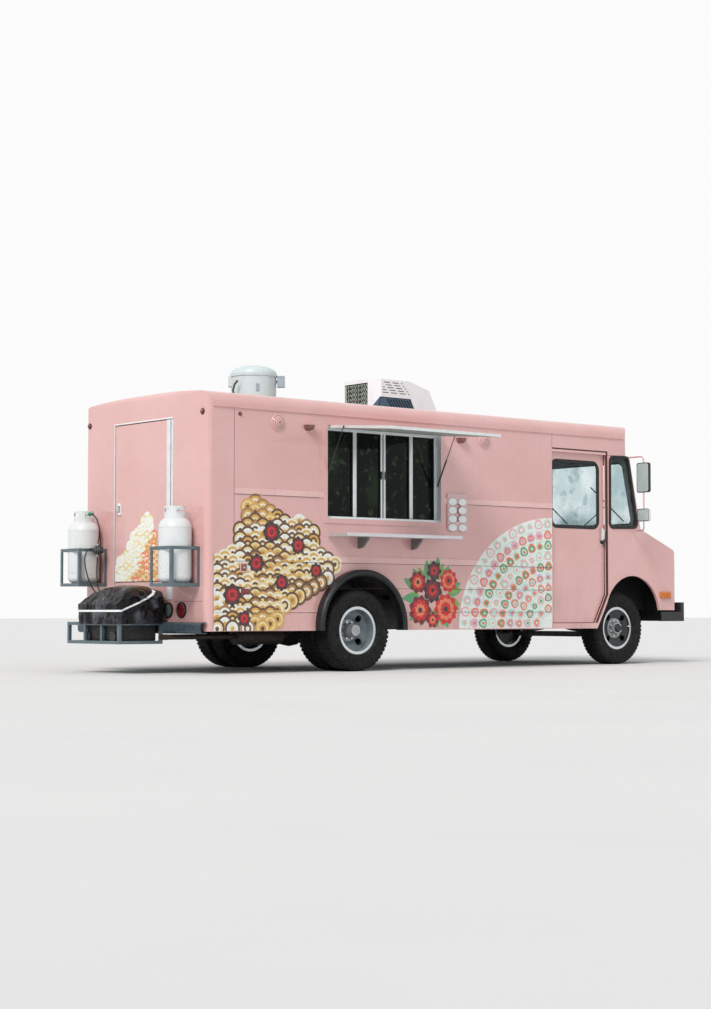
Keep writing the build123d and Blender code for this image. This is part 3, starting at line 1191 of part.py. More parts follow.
hose([(TANK_X, cage_y - COLLAR_R, valve_z), (TANK_X, cage_y - 150, valve_z + 2),
      (TANK_X + 5, cage_y - 205, 1520),
      (TANK_X + 16, cage_y - 240, 1455), (TANK_X + 26, cage_y - 245, 1380), (TANK_X + 34, cage_y - 228, 1310),
      (REGULATOR_X, regulator_y - 4, 1268), (REGULATOR_X, regulator_y,
                                             regulator_z + REGULATOR_R + 1)], "gas_pigtail")
GLAND_Z = 740
hose([(REGULATOR_X, regulator_y, regulator_z - REGULATOR_R - 1), (REGULATOR_X, regulator_y + 4, 1090),
      (REGULATOR_X - 8, regulator_y + 2, 1000), (REGULATOR_X - 10, regulator_y - 6, 910),
      (REGULATOR_X + 2, regulator_y - 2, 820), (REGULATOR_X + 50, regulator_y + 3, 755),
      (REAR_X - 2, regulator_y + 4, GLAND_Z)], "gas_hose")

hose([(REGULATOR_X - REGULATOR_R - 1, regulator_y, 1206), (REGULATOR_X - 85, regulator_y - 2, 1205),
      (REGULATOR_X - 122, regulator_y + 1, 1184), (REGULATOR_X - 142, regulator_y + 4, 1140),
      (REGULATOR_X - 148, regulator_y + 2, 1080), (REGULATOR_X - 140, regulator_y - 2, 1010),
      (REGULATOR_X - 118, regulator_y - 4, 930), (REGULATOR_X - 84, regulator_y, 855),
      (REGULATOR_X - 40, regulator_y + 8, 795), (REGULATOR_X + 18, regulator_y + 24, 752),
      (REAR_X - 2, regulator_y + 44, GLAND_Z - 6)], "gas_hose_loop")

# Mirrors on loop arms
MIRROR_OUT = 230
MIRROR_X = 2022
mirror_y = -HALF_W - MIRROR_OUT
ARM_TOP_Z, ARM_FOOT_Z = 2300.5, 1480
ARM_FOOT_X = MIRROR_X + 60
ARM_R = 9
ARM_BEND = 40
MIRROR_T = 30
# Mirror heads: half width, lower edge, upper edge, corner radius
MIRROR_HEADS = ((90, 1900, 2230, 24), (85, 1580, 1720, 18))
route = [(MIRROR_X, -HALF_W, ARM_TOP_Z), (MIRROR_X, mirror_y, ARM_TOP_Z), (MIRROR_X, mirror_y, ARM_FOOT_Z),
         (ARM_FOOT_X, -HALF_W - 60, ARM_FOOT_Z), (ARM_FOOT_X, -HALF_W, ARM_FOOT_Z)]
arm, _ = bent_rod(route, [ARM_BEND] * 3, ARM_R)
for half_w, low, high, corner_r in MIRROR_HEADS:
    arm += front_prism(rectangle(mirror_y - half_w, mirror_y + half_w, low, high), MIRROR_X - MIRROR_T / 2,
                       MIRROR_X + MIRROR_T / 2, corner_r)
save("mirrors", *both(arm))

# Air conditioner and vent fan on the roof
AC_CHAMFER = 100
AC_BASE_H = 153
AC_BASE_INSET = 10
AC_GRILLE_DROP = 38
AC_GRILLE_DEPTH = 30
AC_FINS = 7
FIN_T = 10
SLOT_DEPTH = 8
SLOT_H = 9
SLOT_L = 88
SLOT_PITCH = 120
SLOT_ROWS = 5
ROW_PITCH = 27
ROW_SHIFT = 25
LOUVRES = 9
LOUVRE_PITCH = 39
LOUVRE_W = 18
LOUVRE_LEAN = 80
roof_low = CROWN_Z - 10
ac_top = CROWN_Z + AC_H
ac = side_prism([(AC_REAR_X, roof_low), (AC_REAR_X, ac_top), (AC_BREAK_X, ac_top),
                 (AC_FRONT_X - 98, ac_top - 80),
                 (AC_FRONT_X, CROWN_Z + 78), (AC_FRONT_X, roof_low)], -AC_HALF_W, AC_HALF_W)
for side in (-1, 1):
    corner = Wire.make_polygon([(AC_REAR_X, side * (AC_HALF_W - AC_CHAMFER), roof_low),
                                (AC_REAR_X + AC_CHAMFER, side * AC_HALF_W, roof_low),
                                (AC_REAR_X, side * AC_HALF_W, roof_low)], close=True)
    ac -= Solid.extrude(Face(corner), Vector(0, 0, AC_H + 20))
# the condenser's opening in the rear face, with its fins
grille_half = AC_HALF_W - AC_CHAMFER - 6
ac -= box(AC_REAR_X, AC_REAR_X + AC_GRILLE_DEPTH, -grille_half, grille_half, roof_low,
          ac_top - AC_GRILLE_DROP)
for index in range(AC_FINS):
    y = grille_half * (2 * (index + 0.5) / AC_FINS - 1)
    ac += box(AC_REAR_X + 8, AC_REAR_X + AC_GRILLE_DEPTH, y - FIN_T / 2, y + FIN_T / 2, roof_low,
              ac_top - AC_GRILLE_DROP)
slot_x = AC_REAR_X + AC_CHAMFER
for side in (-1, 1):
    face_y, slot_y = side * AC_HALF_W, side * (AC_HALF_W - SLOT_DEPTH)
    for row in range(SLOT_ROWS):
        z = ac_top - ROW_PITCH * (row + 1)
        low, high = slot_x + 20, slot_x + 300 + ROW_SHIFT * row
        for column in range(-1, 3):
            start = slot_x + 36 + ROW_SHIFT * row + SLOT_PITCH * column
            near, far = max(start, low), min(start + SLOT_L, high)
            if far - near > 2 * SLOT_H:
                ac -= box(near, far, face_y, slot_y, z - SLOT_H, z)
    # the base below the shroud, set in, with slanting louvres
    base_y = side * (AC_HALF_W - AC_BASE_INSET)
    base_top = CROWN_Z + AC_BASE_H
    ac -= side_prism([(slot_x - 10, roof_low), (slot_x - 10, base_top), (slot_x + 411, base_top),
                      (slot_x + 500, roof_low)], base_y, face_y)
    for index in range(LOUVRES):
        x = slot_x + 84 + LOUVRE_PITCH * index
        ac -= side_prism([(x, base_top - 20), (x + LOUVRE_W, base_top - 20),
                          (x + LOUVRE_W + LOUVRE_LEAN, CROWN_Z + 30),
                          (x + LOUVRE_LEAN, CROWN_Z + 30)], base_y, base_y - side * SLOT_DEPTH)
ac -= body_box(0)
save("roof_ac", ac)

CAP_LIP = 8
CAP_LIP_H = 22
FAN_BOX_Z = 2912
# Boxes on the fan's side: turn about the fan in degrees, middle out from its side, depth, width, height
FAN_BOXES = ((140, 0, 50, 150, 100), (-40, 49, 76, 96, 112))
fan_low = CROWN_Z - 60
cap_r = FAN_R + CAP_LIP
dome_foot = FAN_LIP_Z + CAP_LIP_H
dome = [(cap_r * cos(a),
         dome_foot + (FAN_TOP_Z - dome_foot) * sin(a)) for a in (k * pi / 10 for k in range(5))]
fan = upright([(0, fan_low), (FAN_R, fan_low), (FAN_R, FAN_LIP_Z), (cap_r, FAN_LIP_Z), *dome,
               (0, FAN_TOP_Z)], FAN_X, 0)
for turn, out, depth, width, height in FAN_BOXES:
    swung = Pos(FAN_X, 0, FAN_BOX_Z) * Rot(0, 0, turn)
    fan += swung * Pos(FAN_R + out, 0, 0) * Box(depth, width, height)
    fan += swung * Pos(FAN_R, 0, 0) * Box(max(2 * out, depth) - 4, 30, 30)
fan -= body_box(0)
save("roof_fan", fan)

# Rear door: leaf, its half of the hinge, and the handle's plate
LATCH_T = 12
LATCH_Y = (395, 445)
LATCH_Z = (1532, 1647)
rear_door = box(REAR_X, REAR_X + WALL, REAR_DOOR_Y0, REAR_DOOR_Y1, REAR_DOOR_Z0, REAR_DOOR_Z1)
rear_door += rod((hinge_x, HINGE_Y, REAR_DOOR_Z0), (hinge_x, HINGE_Y, REAR_DOOR_Z1), HINGE_R)
rear_door += box(hinge_x - 2, REAR_X, HINGE_Y, HINGE_Y + HINGE_LEAF + 8, REAR_DOOR_Z0, REAR_DOOR_Z1)
rear_door += box(REAR_X - LATCH_T, REAR_X, *LATCH_Y, *LATCH_Z)
save("rear_door", rear_door)

closed_pin = (hinge_awning_y, hinge_awning_z - STRUT_ARM)
closed_length = ((closed_pin[0] - foot_pin[0]) ** 2 + (closed_pin[1] - foot_pin[1]) ** 2) ** 0.5
closed_lean = degrees(atan2(foot_pin[0] - closed_pin[0], closed_pin[1] - foot_pin[1]))
open_lean = degrees(atan2(-along[0], along[1]))
print("awning hinge", hinge_awning_y, hinge_awning_z, "foot pin", foot_pin, "along", along)
print("strut length", strut_length, closed_length, "lean", open_lean, closed_lean)
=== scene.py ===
import json
from math import cos, hypot, pi, radians, sin, tan
from random import Random

import bmesh
import bpy
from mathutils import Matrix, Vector, noise


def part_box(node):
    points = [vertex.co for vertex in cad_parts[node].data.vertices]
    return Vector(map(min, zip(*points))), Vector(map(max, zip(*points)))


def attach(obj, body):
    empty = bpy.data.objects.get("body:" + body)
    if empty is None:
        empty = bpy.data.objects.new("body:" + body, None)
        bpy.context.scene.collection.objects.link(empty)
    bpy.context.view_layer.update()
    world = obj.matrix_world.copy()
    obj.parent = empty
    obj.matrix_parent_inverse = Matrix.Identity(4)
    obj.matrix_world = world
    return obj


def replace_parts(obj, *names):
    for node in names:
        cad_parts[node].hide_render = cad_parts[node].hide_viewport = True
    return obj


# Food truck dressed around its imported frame. Metres: +X forward, +Y to the truck's left, +Z up.
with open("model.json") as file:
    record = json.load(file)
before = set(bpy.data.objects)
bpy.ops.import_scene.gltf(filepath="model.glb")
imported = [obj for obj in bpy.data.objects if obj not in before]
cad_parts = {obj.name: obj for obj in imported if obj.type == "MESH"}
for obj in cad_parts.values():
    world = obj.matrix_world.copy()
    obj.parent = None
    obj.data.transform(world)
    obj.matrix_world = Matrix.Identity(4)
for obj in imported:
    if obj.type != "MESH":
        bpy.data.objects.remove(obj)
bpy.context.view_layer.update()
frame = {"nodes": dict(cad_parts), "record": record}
scene = bpy.context.scene
nodes = frame["nodes"]


def add_object(name, data):
    made = bpy.data.objects.new(name, data)
    scene.collection.objects.link(made)
    return made


# Camera at the photograph's place, without roll or shift
CAMERA_AT = (-14.219, -15.802, 0.59)
CAMERA_YAW = radians(50.2066)
CAMERA_PITCH = radians(3.126)
CAMERA_LENS = 69.57
camera_data = bpy.data.cameras.new("camera")
camera_data.lens = CAMERA_LENS
camera_data.sensor_width = 36
camera_data.clip_end = 500
camera = add_object("camera", camera_data)
camera.location = CAMERA_AT
level = cos(CAMERA_PITCH)
looking = Vector((cos(CAMERA_YAW) * level, sin(CAMERA_YAW) * level, sin(CAMERA_PITCH)))
camera.rotation_euler = looking.to_track_quat("-Z", "Y").to_euler()
scene.camera = camera
scene.view_settings.view_transform = "Standard"

# Places on the frame
DOOR_HARDWARE_OUT = 0.019
GLASS_INSET = 0.008
HALF_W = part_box("wall_rear")[1].y
SKIRT_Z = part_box("wall_rear")[0].z
REAR_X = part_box("rear_door")[0].x + DOOR_HARDWARE_OUT
DOOR_Y = -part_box("door_glass_right")[0].y + GLASS_INSET
SHELF_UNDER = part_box("shelf")[1].z - 0.033
AXLE_Z = 0.4
FRONT_X, REAR_AXLE_X = 1.945, -1.945
FRONT_Y, REAR_OUTER_Y, REAR_INNER_Y = 0.86, 1.012, 0.74
ARCH_R = 0.66
AC_BACK_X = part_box("roof_ac")[0].x
AC_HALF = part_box("roof_ac")[1].y
AC_BASE_TOP = 2.843
AC_RECESS = 0.188
FAN_X, FAN_R = -2.403, 0.230
FAN_LIP_Z = 2.965
TRUCK = "truck"
HANDS = ((-1, "right"), (1, "left"))
# Mouldings along the walls: lower edge, height, how far they stand out
MOULDINGS = ((1.690, 0.055, 0.007), (1.060, 0.060, 0.007), (0.815, 0.014, 0.005), (0.580, 0.014, 0.005))


# Finishes
def add_node(tree, kind, output, *values, **named):
    """Adds a node and gives one of its outputs. A name in small letters is a setting, any other an input."""
    made = tree.nodes.new("ShaderNode" + kind)
    for name, value in (*named.items(), *enumerate(values)):
        if isinstance(name, str) and name.islower():
            setattr(made, name, value)
            continue
        socket = made.inputs[name.replace("_", " ") if isinstance(name, str) else name]
        if isinstance(value, bpy.types.NodeSocket):
            tree.links.new(value, socket)
        else:
            socket.default_value = value
    return made.outputs[output]


def shade(colour, times, plus=0.0):
    return tuple(min(1, c * times + plus) for c in colour)


finish = {}


class Finish:
    """A Principled material, built up from its base colour with noise, wear, painted light and shade, and
    bump in object space.

    A factor is a node's output, arguments of noise(), or the name of another method with its arguments.
    """

    def __init__(self, name, colour, rough, metal=0.0, **sockets):
        material = bpy.data.materials.new(name)
        material.use_nodes = True
        finish[name] = material
        self.tree = material.node_tree
        self.inputs = self.tree.nodes["Principled BSDF"].inputs
        self.colour = (*colour, 1)
        sockets.update(Base_Color=self.colour, Roughness=rough, Metallic=metal)
        for socket, value in sockets.items():
            self.inputs[socket.replace("_", " ")].default_value = value
        self.under = {}
        self.coordinates = self.node("TexCoord", "Object")

    def node(self, kind, output, *values, **named):
        return add_node(self.tree, kind, output, *values, **named)

    def factor(self, given):
        if not isinstance(given, tuple):
            return given
        if isinstance(given[0], str):
            kinds = {"cells": self.cells, "height": self.height, "times": self.times}
            return kinds[given[0]](*given[1:])
        return self.noise(*given)

    def span(self, value, low, high, start=0.0, end=1.0):
        return self.node("MapRange", 0, Value=value, From_Min=low, From_Max=high, To_Min=start, To_Max=end)

    def noise(self, scale, detail=4.0, low=0.35, high=0.65, stretch=(1, 1, 1)):
        place = self.node("Mapping", 0, Vector=self.coordinates, Scale=stretch)
        return self.span(self.node("TexNoise", "Fac", Vector=place, Scale=scale, Detail=detail), low, high)

    def cells(self, scale, low=0.0, high=0.5, stretch=(1, 1, 1)):
        place = self.node("Mapping", 0, Vector=self.coordinates, Scale=stretch)
        return self.span(self.node("TexVoronoi", "Distance", Vector=place, Scale=scale), low, high)

    def height(self, low, high):
        return self.span(self.node("SeparateXYZ", "Z", self.coordinates), low, high)

    def times(self, first, second):
        return self.node("Math", 0, self.factor(first), self.factor(second), operation="MULTIPLY")

    def tint(self, factor, colour, amount=1.0):
        self.colour = self.node("Mix", "Result", data_type="RGBA", Factor=self.times(factor, amount),
                                A=self.colour, B=(*colour, 1))
        self.tree.links.new(self.colour, self.inputs["Base Color"])
        return self

    def roughen(self, factor, low, high):
        self.tree.links.new(self.span(self.factor(factor), 0, 1, low, high), self.inputs["Roughness"])
        return self

    def bump(self, factor, distance, strength=1.0):
        normal = self.node("Bump", "Normal", Height=self.factor(factor), Distance=distance, Strength=strength,
                           **self.under)
        self.tree.links.new(normal, self.inputs["Normal"])
        self.under = {"Normal": normal}
        return self


WAVINESS = (1.5, 2, 0.2, 0.8)
BRUSHED = (0.05, 1, 1)
DUST = (0.16, 0.13, 0.105)


def body_paint(name, colour):
    paint = Finish(name, colour, 0.26, Coat_Weight=0.9, Coat_Roughness=0.07)
    paint.tint((0.9, 3), (0.76, 0.465, 0.455), 0.6)
    paint.tint((6, 6, 0.5, 0.8), (0.62, 0.33, 0.30), 0.3)
    paint.tint(("times", (7, 8, 0.42, 0.7, (1, 1, 0.35)), ("height", 0.95, 0.38)), (0.30, 0.20, 0.17), 0.5)
    paint.tint((26, 5, 0.6, 0.78, (1, 1, 0.045)), (0.50, 0.30, 0.27), 0.22)
    paint.roughen((12, 6), 0.26, 0.42).bump(WAVINESS, 0.02, 0.6).bump((420, 3), 0.0002, 0.25)


def dark_metal(name, colour, rough):
    made = Finish(name, colour, rough).tint((14, 6), shade(colour, 1.6, 0.004), 0.5)
    made.tint(("times", (5, 7, 0.5, 0.8), ("height", 0.95, 0.1)), DUST, 0.3)
    made.roughen((30, 5), rough - 0.1, rough + 0.2).bump((160, 5), 0.0005, 0.35)


def alloy(name, colour, rough, metal):
    made = Finish(name, colour, rough, metal).tint((11, 6, 0.45, 0.75), shade(colour, 0.7), 0.4)
    made.roughen((240, 3, 0.35, 0.65, BRUSHED), rough - 0.06, rough + 0.14)
    made.bump((300, 3, 0.35, 0.65, BRUSHED), 0.0002, 0.3)


def rubber(name, colour):
    made = Finish(name, colour, 0.36, Specular_IOR_Level=0.4)
    made.tint((8, 7, 0.5, 0.8), (0.04, 0.038, 0.036), 0.35)
    made.roughen((18, 6), 0.28, 0.56).bump((260, 4), 0.0003, 0.3)


def lens(name, colour, clearness):
    made = Finish(name, colour, 0.08, Coat_Weight=0.8, Transmission_Weight=clearness, IOR=1.46)
    made.tint(("cells", 85, 0.1, 0.6), shade(colour, 1.7, 0.02), 0.5)
    made.bump(("cells", 140, 0.0, 0.6), 0.0012, 0.5)


def white_shell(name, colour, rough):
    made = Finish(name, colour, rough).tint((7, 7, 0.5, 0.8), shade(colour, 0.82), 0.45)
    made.tint((30, 6, 0.6, 0.8, (1, 1, 0.12)), (0.42, 0.38, 0.33), 0.25)
    return made.roughen((16, 5), rough - 0.08, rough + 0.15).bump((190, 4), 0.0004, 0.3)


def rusted(name, colour, rust):
    made = Finish(name, colour, 0.55, 0.6).tint((13, 8, 0.45, 0.65), (0.055, 0.032, 0.022), rust)
    made.roughen((20, 6), 0.45, 0.8).bump((140, 6), 0.0008, 0.5)


def vinyl(name, leather_scale):
    made = Finish(name, (0.035, 0.035, 0.038), 0.5).tint((12, 5), (0.07, 0.07, 0.072), 0.5)
    made.bump(("cells", leather_scale, 0.0, 0.5), 0.0008, 0.4)


def printed(name, colour):
    """Printed film on the paint: one ink, a little uneven, with the paint's own waviness."""
    made = Finish(name, colour, 0.3, Coat_Weight=0.2).tint((34, 6, 0.4, 0.7), shade(colour, 1.35, 0.02), 0.55)
    made.tint((90, 5, 0.55, 0.75), shade(colour, 0.6), 0.4).bump(WAVINESS, 0.012, 0.5)


for make, rows in (
        # The second pink is lighter: a painted highlight for the raised mouldings
        (body_paint, (("body_paint", (0.70, 0.39, 0.37)), ("paint_light", (0.80, 0.50, 0.48)))),
        (dark_metal, (
            ("chassis_black", (0.018, 0.018, 0.019), 0.45), ("bumper_black", (0.012, 0.012, 0.013), 0.34),
            ("grille_black", (0.014, 0.014, 0.015), 0.4), ("regulator_grey", (0.05, 0.052, 0.055), 0.42),
            # The near-black slot finish is painted shade in slots and recesses, and the generator case's own
            # black
            ("strut_black", (0.012, 0.012, 0.013), 0.3), ("slot_dark", (0.006, 0.006, 0.008), 0.6),
            ("ac_blue", (0.045, 0.085, 0.135), 0.42), ("lamp_bronze", (0.20, 0.085, 0.065), 0.4),
            # The dark seam finish also serves as painted shade: shadow lines under the mouldings and strips
            # in the door gaps
            ("seam_dark", (0.045, 0.014, 0.012), 0.6), ("rim_blue", (0.15, 0.19, 0.215), 0.34),
            ("rim_dark", (0.016, 0.018, 0.021), 0.38), ("fan_blue", (0.30, 0.37, 0.43), 0.42),
            ("bumper_grey", (0.035, 0.052, 0.066), 0.24))),
        (alloy, (
            ("window_alloy", (0.78, 0.82, 0.83), 0.34, 0.35), ("shelf_steel", (0.66, 0.66, 0.69), 0.34, 0.6),
            ("rim_lip", (0.72, 0.76, 0.78), 0.24, 0.7), ("bracket_grey", (0.20, 0.20, 0.205), 0.4, 0.5))),
        (rubber, (("black_rubber", (0.008, 0.008, 0.010)), ("hose_rubber", (0.012, 0.012, 0.013)))),
        (lens, (
            ("lamp_lens", (0.74, 0.78, 0.80), 0.7), ("amber_lens", (0.78, 0.19, 0.012), 0.35),
            ("red_lens", (0.22, 0.006, 0.012), 0.35), ("clear_lamp", (0.10, 0.13, 0.125), 0.2))),
        (white_shell, (
            ("ac_white", (0.84, 0.87, 0.90), 0.4), ("fan_grey", (0.60, 0.70, 0.71), 0.36),
            ("reflective_white", (0.86, 0.88, 0.90), 0.3), ("awning_grey", (0.34, 0.37, 0.355), 0.5),
            ("ac_fins", (0.42, 0.50, 0.44), 0.4), ("inner_lining", (0.36, 0.39, 0.39), 0.5),
            ("rim_pale", (0.34, 0.345, 0.34), 0.42), ("valve_green", (0.03, 0.28, 0.13), 0.4),
            ("board_pink", (0.74, 0.50, 0.50), 0.35))),
        (rusted, (("exhaust_steel", (0.05, 0.045, 0.04), 0.8), ("engine_iron", (0.02, 0.02, 0.02), 0.4))),
        (vinyl, (("dash_plastic", 300), ("seat_vinyl", 220))),
        (printed, (
            ("cream", (0.80, 0.74, 0.58)), ("gold", (0.62, 0.36, 0.09)), ("straw", (0.74, 0.60, 0.30)),
            ("brown", (0.12, 0.055, 0.025)), ("tan", (0.36, 0.19, 0.07)), ("wine", (0.17, 0.012, 0.022)),
            ("white", (0.80, 0.83, 0.80)), ("mint", (0.52, 0.72, 0.60)), ("green", (0.10, 0.33, 0.15)),
            ("leaf", (0.20, 0.38, 0.07)), ("pink", (0.80, 0.42, 0.44)), ("coral", (0.76, 0.20, 0.11)),
            ("red", (0.58, 0.018, 0.016)), ("dark", (0.028, 0.020, 0.024)), ("lilac", (0.58, 0.46, 0.60))))):
    for row in rows:
        make(*row)

made = Finish("floor_plate", (0.22, 0.22, 0.23), 0.4, 0.9).tint((9, 6), (0.16, 0.15, 0.14), 0.6)
made.bump(("cells", 42, 0.05, 0.3, (1, 0.45, 1)), 0.002, 0.5)

# Glass with painted shade and painted reflections: its lower part darker, for the shaded inside seen through
# it, and blotches for what it reflects
made = Finish("clear_glass", (0.66, 0.75, 0.76), 0.02, Transmission_Weight=1.0, IOR=1.2)
made.tint(("height", 1.68, 1.50), (0.20, 0.29, 0.31), 0.75)
made.tint((2.6, 6, 0.45, 0.62), (0.92, 0.96, 0.97), 0.85)
made.tint((5.5, 8, 0.62, 0.70), (0.34, 0.44, 0.48), 0.6)
made.roughen((9, 5, 0.5, 0.75), 0.015, 0.09).bump((2.2, 2), 0.002, 0.2)

# Near-black glass with painted reflections: blotches of dim green
made = Finish("dark_glass", (0.004, 0.005, 0.005), 0.03, Specular_IOR_Level=0.12)
made.tint((4, 7, 0.52, 0.66, (1, 1, 0.6)), (0.016, 0.034, 0.014), 0.8)
made.tint((15, 8, 0.6, 0.68), (0.055, 0.095, 0.04), 0.55)
made.roughen((7, 5, 0.5, 0.8), 0.02, 0.1).bump((1.8, 2), 0.002, 0.15)

made = Finish("grey_steel", (0.085, 0.13, 0.155), 0.38, 0.25, Coat_Weight=0.2)
made.tint((10, 6), (0.15, 0.20, 0.225), 0.6).tint((38, 8, 0.66, 0.74), (0.19, 0.10, 0.06), 0.7)
made.roughen((24, 5), 0.3, 0.55).bump((120, 5), 0.0005, 0.4)

made = white_shell("tank_white", (0.72, 0.74, 0.75), 0.34)
made.tint(("times", (62, 5, 0.645, 0.67), ("height", 1.15, 0.85)), (0.12, 0.06, 0.035), 0.9)
made.bump((60, 3, 0.3, 0.7), 0.0006, 0.25)

# Black vinyl cloth with painted highlights: streaks of pale blue-grey
made = Finish("cover_vinyl", (0.003, 0.003, 0.0045), 0.24, Specular_IOR_Level=0.26)
made.tint((6, 1, 0.60, 0.74, (1.2, 0.6, 1)), (0.11, 0.125, 0.15), 0.7).roughen((13, 6), 0.12, 0.36)
made.bump((8, 1, 0.3, 0.7), 0.024, 0.8).bump((21, 1, 0.35, 0.65), 0.006, 0.6).bump((900, 2), 0.0002, 0.35)

made = Finish("tyre_rubber", (0.0075, 0.0075, 0.008), 0.62, Specular_IOR_Level=0.22)
made.tint((9, 7, 0.5, 0.78), (0.030, 0.028, 0.026), 0.5)
made.tint((28, 6, 0.55, 0.75), (0.06, 0.053, 0.046), 0.25)
made.roughen((30, 5), 0.55, 0.85).bump((320, 4), 0.0005, 0.4)

made = Finish("rim_silver", (0.40, 0.43, 0.45), 0.32, 0.55, Coat_Weight=0.15)
made.tint((16, 7, 0.45, 0.72), (0.23, 0.24, 0.25), 0.55).tint((60, 8, 0.62, 0.72), (0.16, 0.09, 0.05), 0.5)
made.roughen((26, 5), 0.24, 0.5).bump((210, 4), 0.0003, 0.35)

made = Finish("strut_chrome", (0.72, 0.73, 0.74), 0.12, 1.0)
made.tint((22, 6, 0.5, 0.75), (0.45, 0.45, 0.46), 0.4).roughen((50, 5), 0.08, 0.24)

# Mirror glass given a pale green-grey base: a painted reflection
Finish("mirror_face", (0.60, 0.70, 0.69), 0.22, 0.25).tint((14, 5), (0.50, 0.60, 0.61), 0.5)

for subpart in frame["record"]["subparts"]:
    mesh = nodes[subpart["node"]].data
    mesh.materials.clear()
    mesh.materials.append(finish[subpart["material_slot"]])


def repaint(node, look, chosen):
    """The node's faces for which chosen(middle, normal) is true take another finish."""
    mesh = nodes[node].data
    index = len(mesh.materials)
    mesh.materials.append(finish[look])
    for face in mesh.polygons:
        if chosen(face.center, face.normal):
            face.material_index = index


def inward(middle, normal):
    return normal.y * middle.y < -0.5 * abs(middle.y)


def in_arch(middle, normal):
    return abs(normal.y) < 0.5 and hypot(middle.x - REAR_AXLE_X, middle.z - AXLE_Z) < ARCH_R


def ac_level(middle, inset):
    """Whether a face of the cooler lies at this distance inside its sides."""
    return abs(abs(middle.y) - AC_HALF + inset) < 0.001


for names, look, chosen in (
        ("wall_right wall_left", "inner_lining", inward),
        ("wall_rear", "inner_lining", lambda m, n: n.x > 0.5 or inward(m, n)),
        ("roof", "inner_lining", lambda m, n: n.z < -0.3 and abs(m.y) < HALF_W - 0.02),
        ("front_cap", "inner_lining", lambda m, n: n.x < -0.5 or inward(m, n)),
        ("fenders", "chassis_black", inward),
        ("hood", "chassis_black", lambda m, n: n.z < -0.3),
        ("nose_panel", "chassis_black", lambda m, n: n.x < -0.5 or inward(m, n)),
        ("floor", "chassis_black", lambda m, n: n.z < -0.5),
        ("awning", "awning_grey", lambda m, n: n.z < -0.5),
        ("awning", "window_alloy", lambda m, n: abs(n.z) < 0.5),
        ("shelf", "bracket_grey", lambda m, n: m.z < SHELF_UNDER),
        # The mouldings' faces in the lighter pink: a painted highlight on the raised bands
        ("wall_right wall_left", "paint_light", lambda m, n: abs(m.y) > HALF_W + 0.001),
        ("wall_right wall_left", "chassis_black", in_arch),
        ("wheelhouses", "chassis_black", lambda m, n: n.z < 0.5),
        ("rear_bumper", "bumper_grey", lambda m, n: True),
        ("strut_rods", "strut_black", lambda m, n: True),
        ("serving_frame", "window_alloy", lambda m, n: m.y > -HALF_W + 0.02),
        ("wall_rear", "window_alloy", lambda m, n: m.x < REAR_X - 0.002),
        ("rear_door", "window_alloy", lambda m, n: m.x < REAR_X - 0.001 and m.y < 0),
        ("rear_door", "reflective_white", lambda m, n: m.x < REAR_X - 0.001 and m.y > 0),
        ("door_right door_left", "strut_chrome", lambda m, n: abs(m.y) > DOOR_Y + 0.002),
        ("tail_lamps", "clear_lamp", lambda m, n: abs(m.y) < 0.55),
        ("mirrors", "bumper_black", lambda m, n: abs(m.y) > 1.195 and 1.895 < m.z < 2.235),
        ("mirrors", "strut_chrome", lambda m, n: abs(m.y) > 1.195 and m.z < 1.73),
        # The cooler's blue base beside its rear opening, and painted shade: its slots, recesses and the back
        # of its rear opening made near black
        ("roof_ac", "ac_blue", lambda m, n: m.z < AC_BASE_TOP + 0.001 and m.x < -0.43
         and AC_RECESS + 0.01 < abs(m.y) < AC_HALF - 0.004),
        ("roof_ac", "slot_dark", lambda m, n: AC_HALF - 0.020 < abs(m.y) < AC_HALF - 0.0105
         and m.z < AC_BASE_TOP and abs(n.y) < 0.9),
        ("roof_ac", "slot_dark", lambda m, n: ac_level(m, 0.018) and abs(n.y) > 0.9),
        ("roof_ac", "slot_dark", lambda m, n: ac_level(m, 0.008) and m.z > AC_BASE_TOP),
        ("roof_ac", "slot_dark", lambda m, n: abs(m.y) < AC_RECESS and m.z < 2.993
         and AC_BACK_X + 0.004 < m.x < AC_BACK_X + 0.04),
        ("roof_fan", "fan_blue", lambda m, n: m.x > FAN_X + 0.14 and m.y < -0.05
         and m.z < FAN_LIP_Z - 0.002 and hypot(m.x - FAN_X, m.y) > FAN_R + 0.004)):
    for name in names.split():
        repaint(name, look, chosen)


# Outlines: points in a plane
def circle(count):
    """The angles of so many points round a circle."""
    return [2 * pi * k / count for k in range(count)]


def rectangle(u0, u1, v0, v1):
    return [(u0, v0), (u1, v0), (u1, v1), (u0, v1)]


def rounded(points, radius, steps=6):
    """An outline with its corners rounded."""
    result = []
    for i, corner in enumerate(points):
        here = Vector(corner)
        back = Vector(points[i - 1]) - here
        ahead = Vector(points[(i + 1) % len(points)]) - here
        half = back.angle(ahead) / 2
        reach = radius / tan(half)
        centre = here + (back.normalized() + ahead.normalized()).normalized() * (radius / sin(half))
        start = here + back.normalized() * reach - centre
        end = here + ahead.normalized() * reach - centre
        turn = start.angle_signed(end)
        for k in range(steps + 1):
            angle = -turn * k / steps
            result.append((centre.x + start.x * cos(angle) - start.y * sin(angle),
                           centre.y + start.x * sin(angle) + start.y * cos(angle)))
    return result


def grown(points, margin):
    """A convex outline, counter-clockwise, with every edge moved outwards."""
    lines = []
    for start, end in zip(points, points[1:] + points[:1]):
        start, end = Vector(start), Vector(end)
        way = (end - start).normalized()
        lines.append((start + Vector((way.y, -way.x)) * margin, way))
    result = []
    for (p, u), (q, v) in zip(lines[-1:] + lines[:-1], lines):
        gap = q - p
        result.append(tuple(p + u * ((gap.x * v.y - gap.y * v.x) / (u.x * v.y - u.y * v.x))))
    return result


def on_side(side, y=HALF_W):
    return lambda u, v, out: Vector((u, side * (y + out), v))


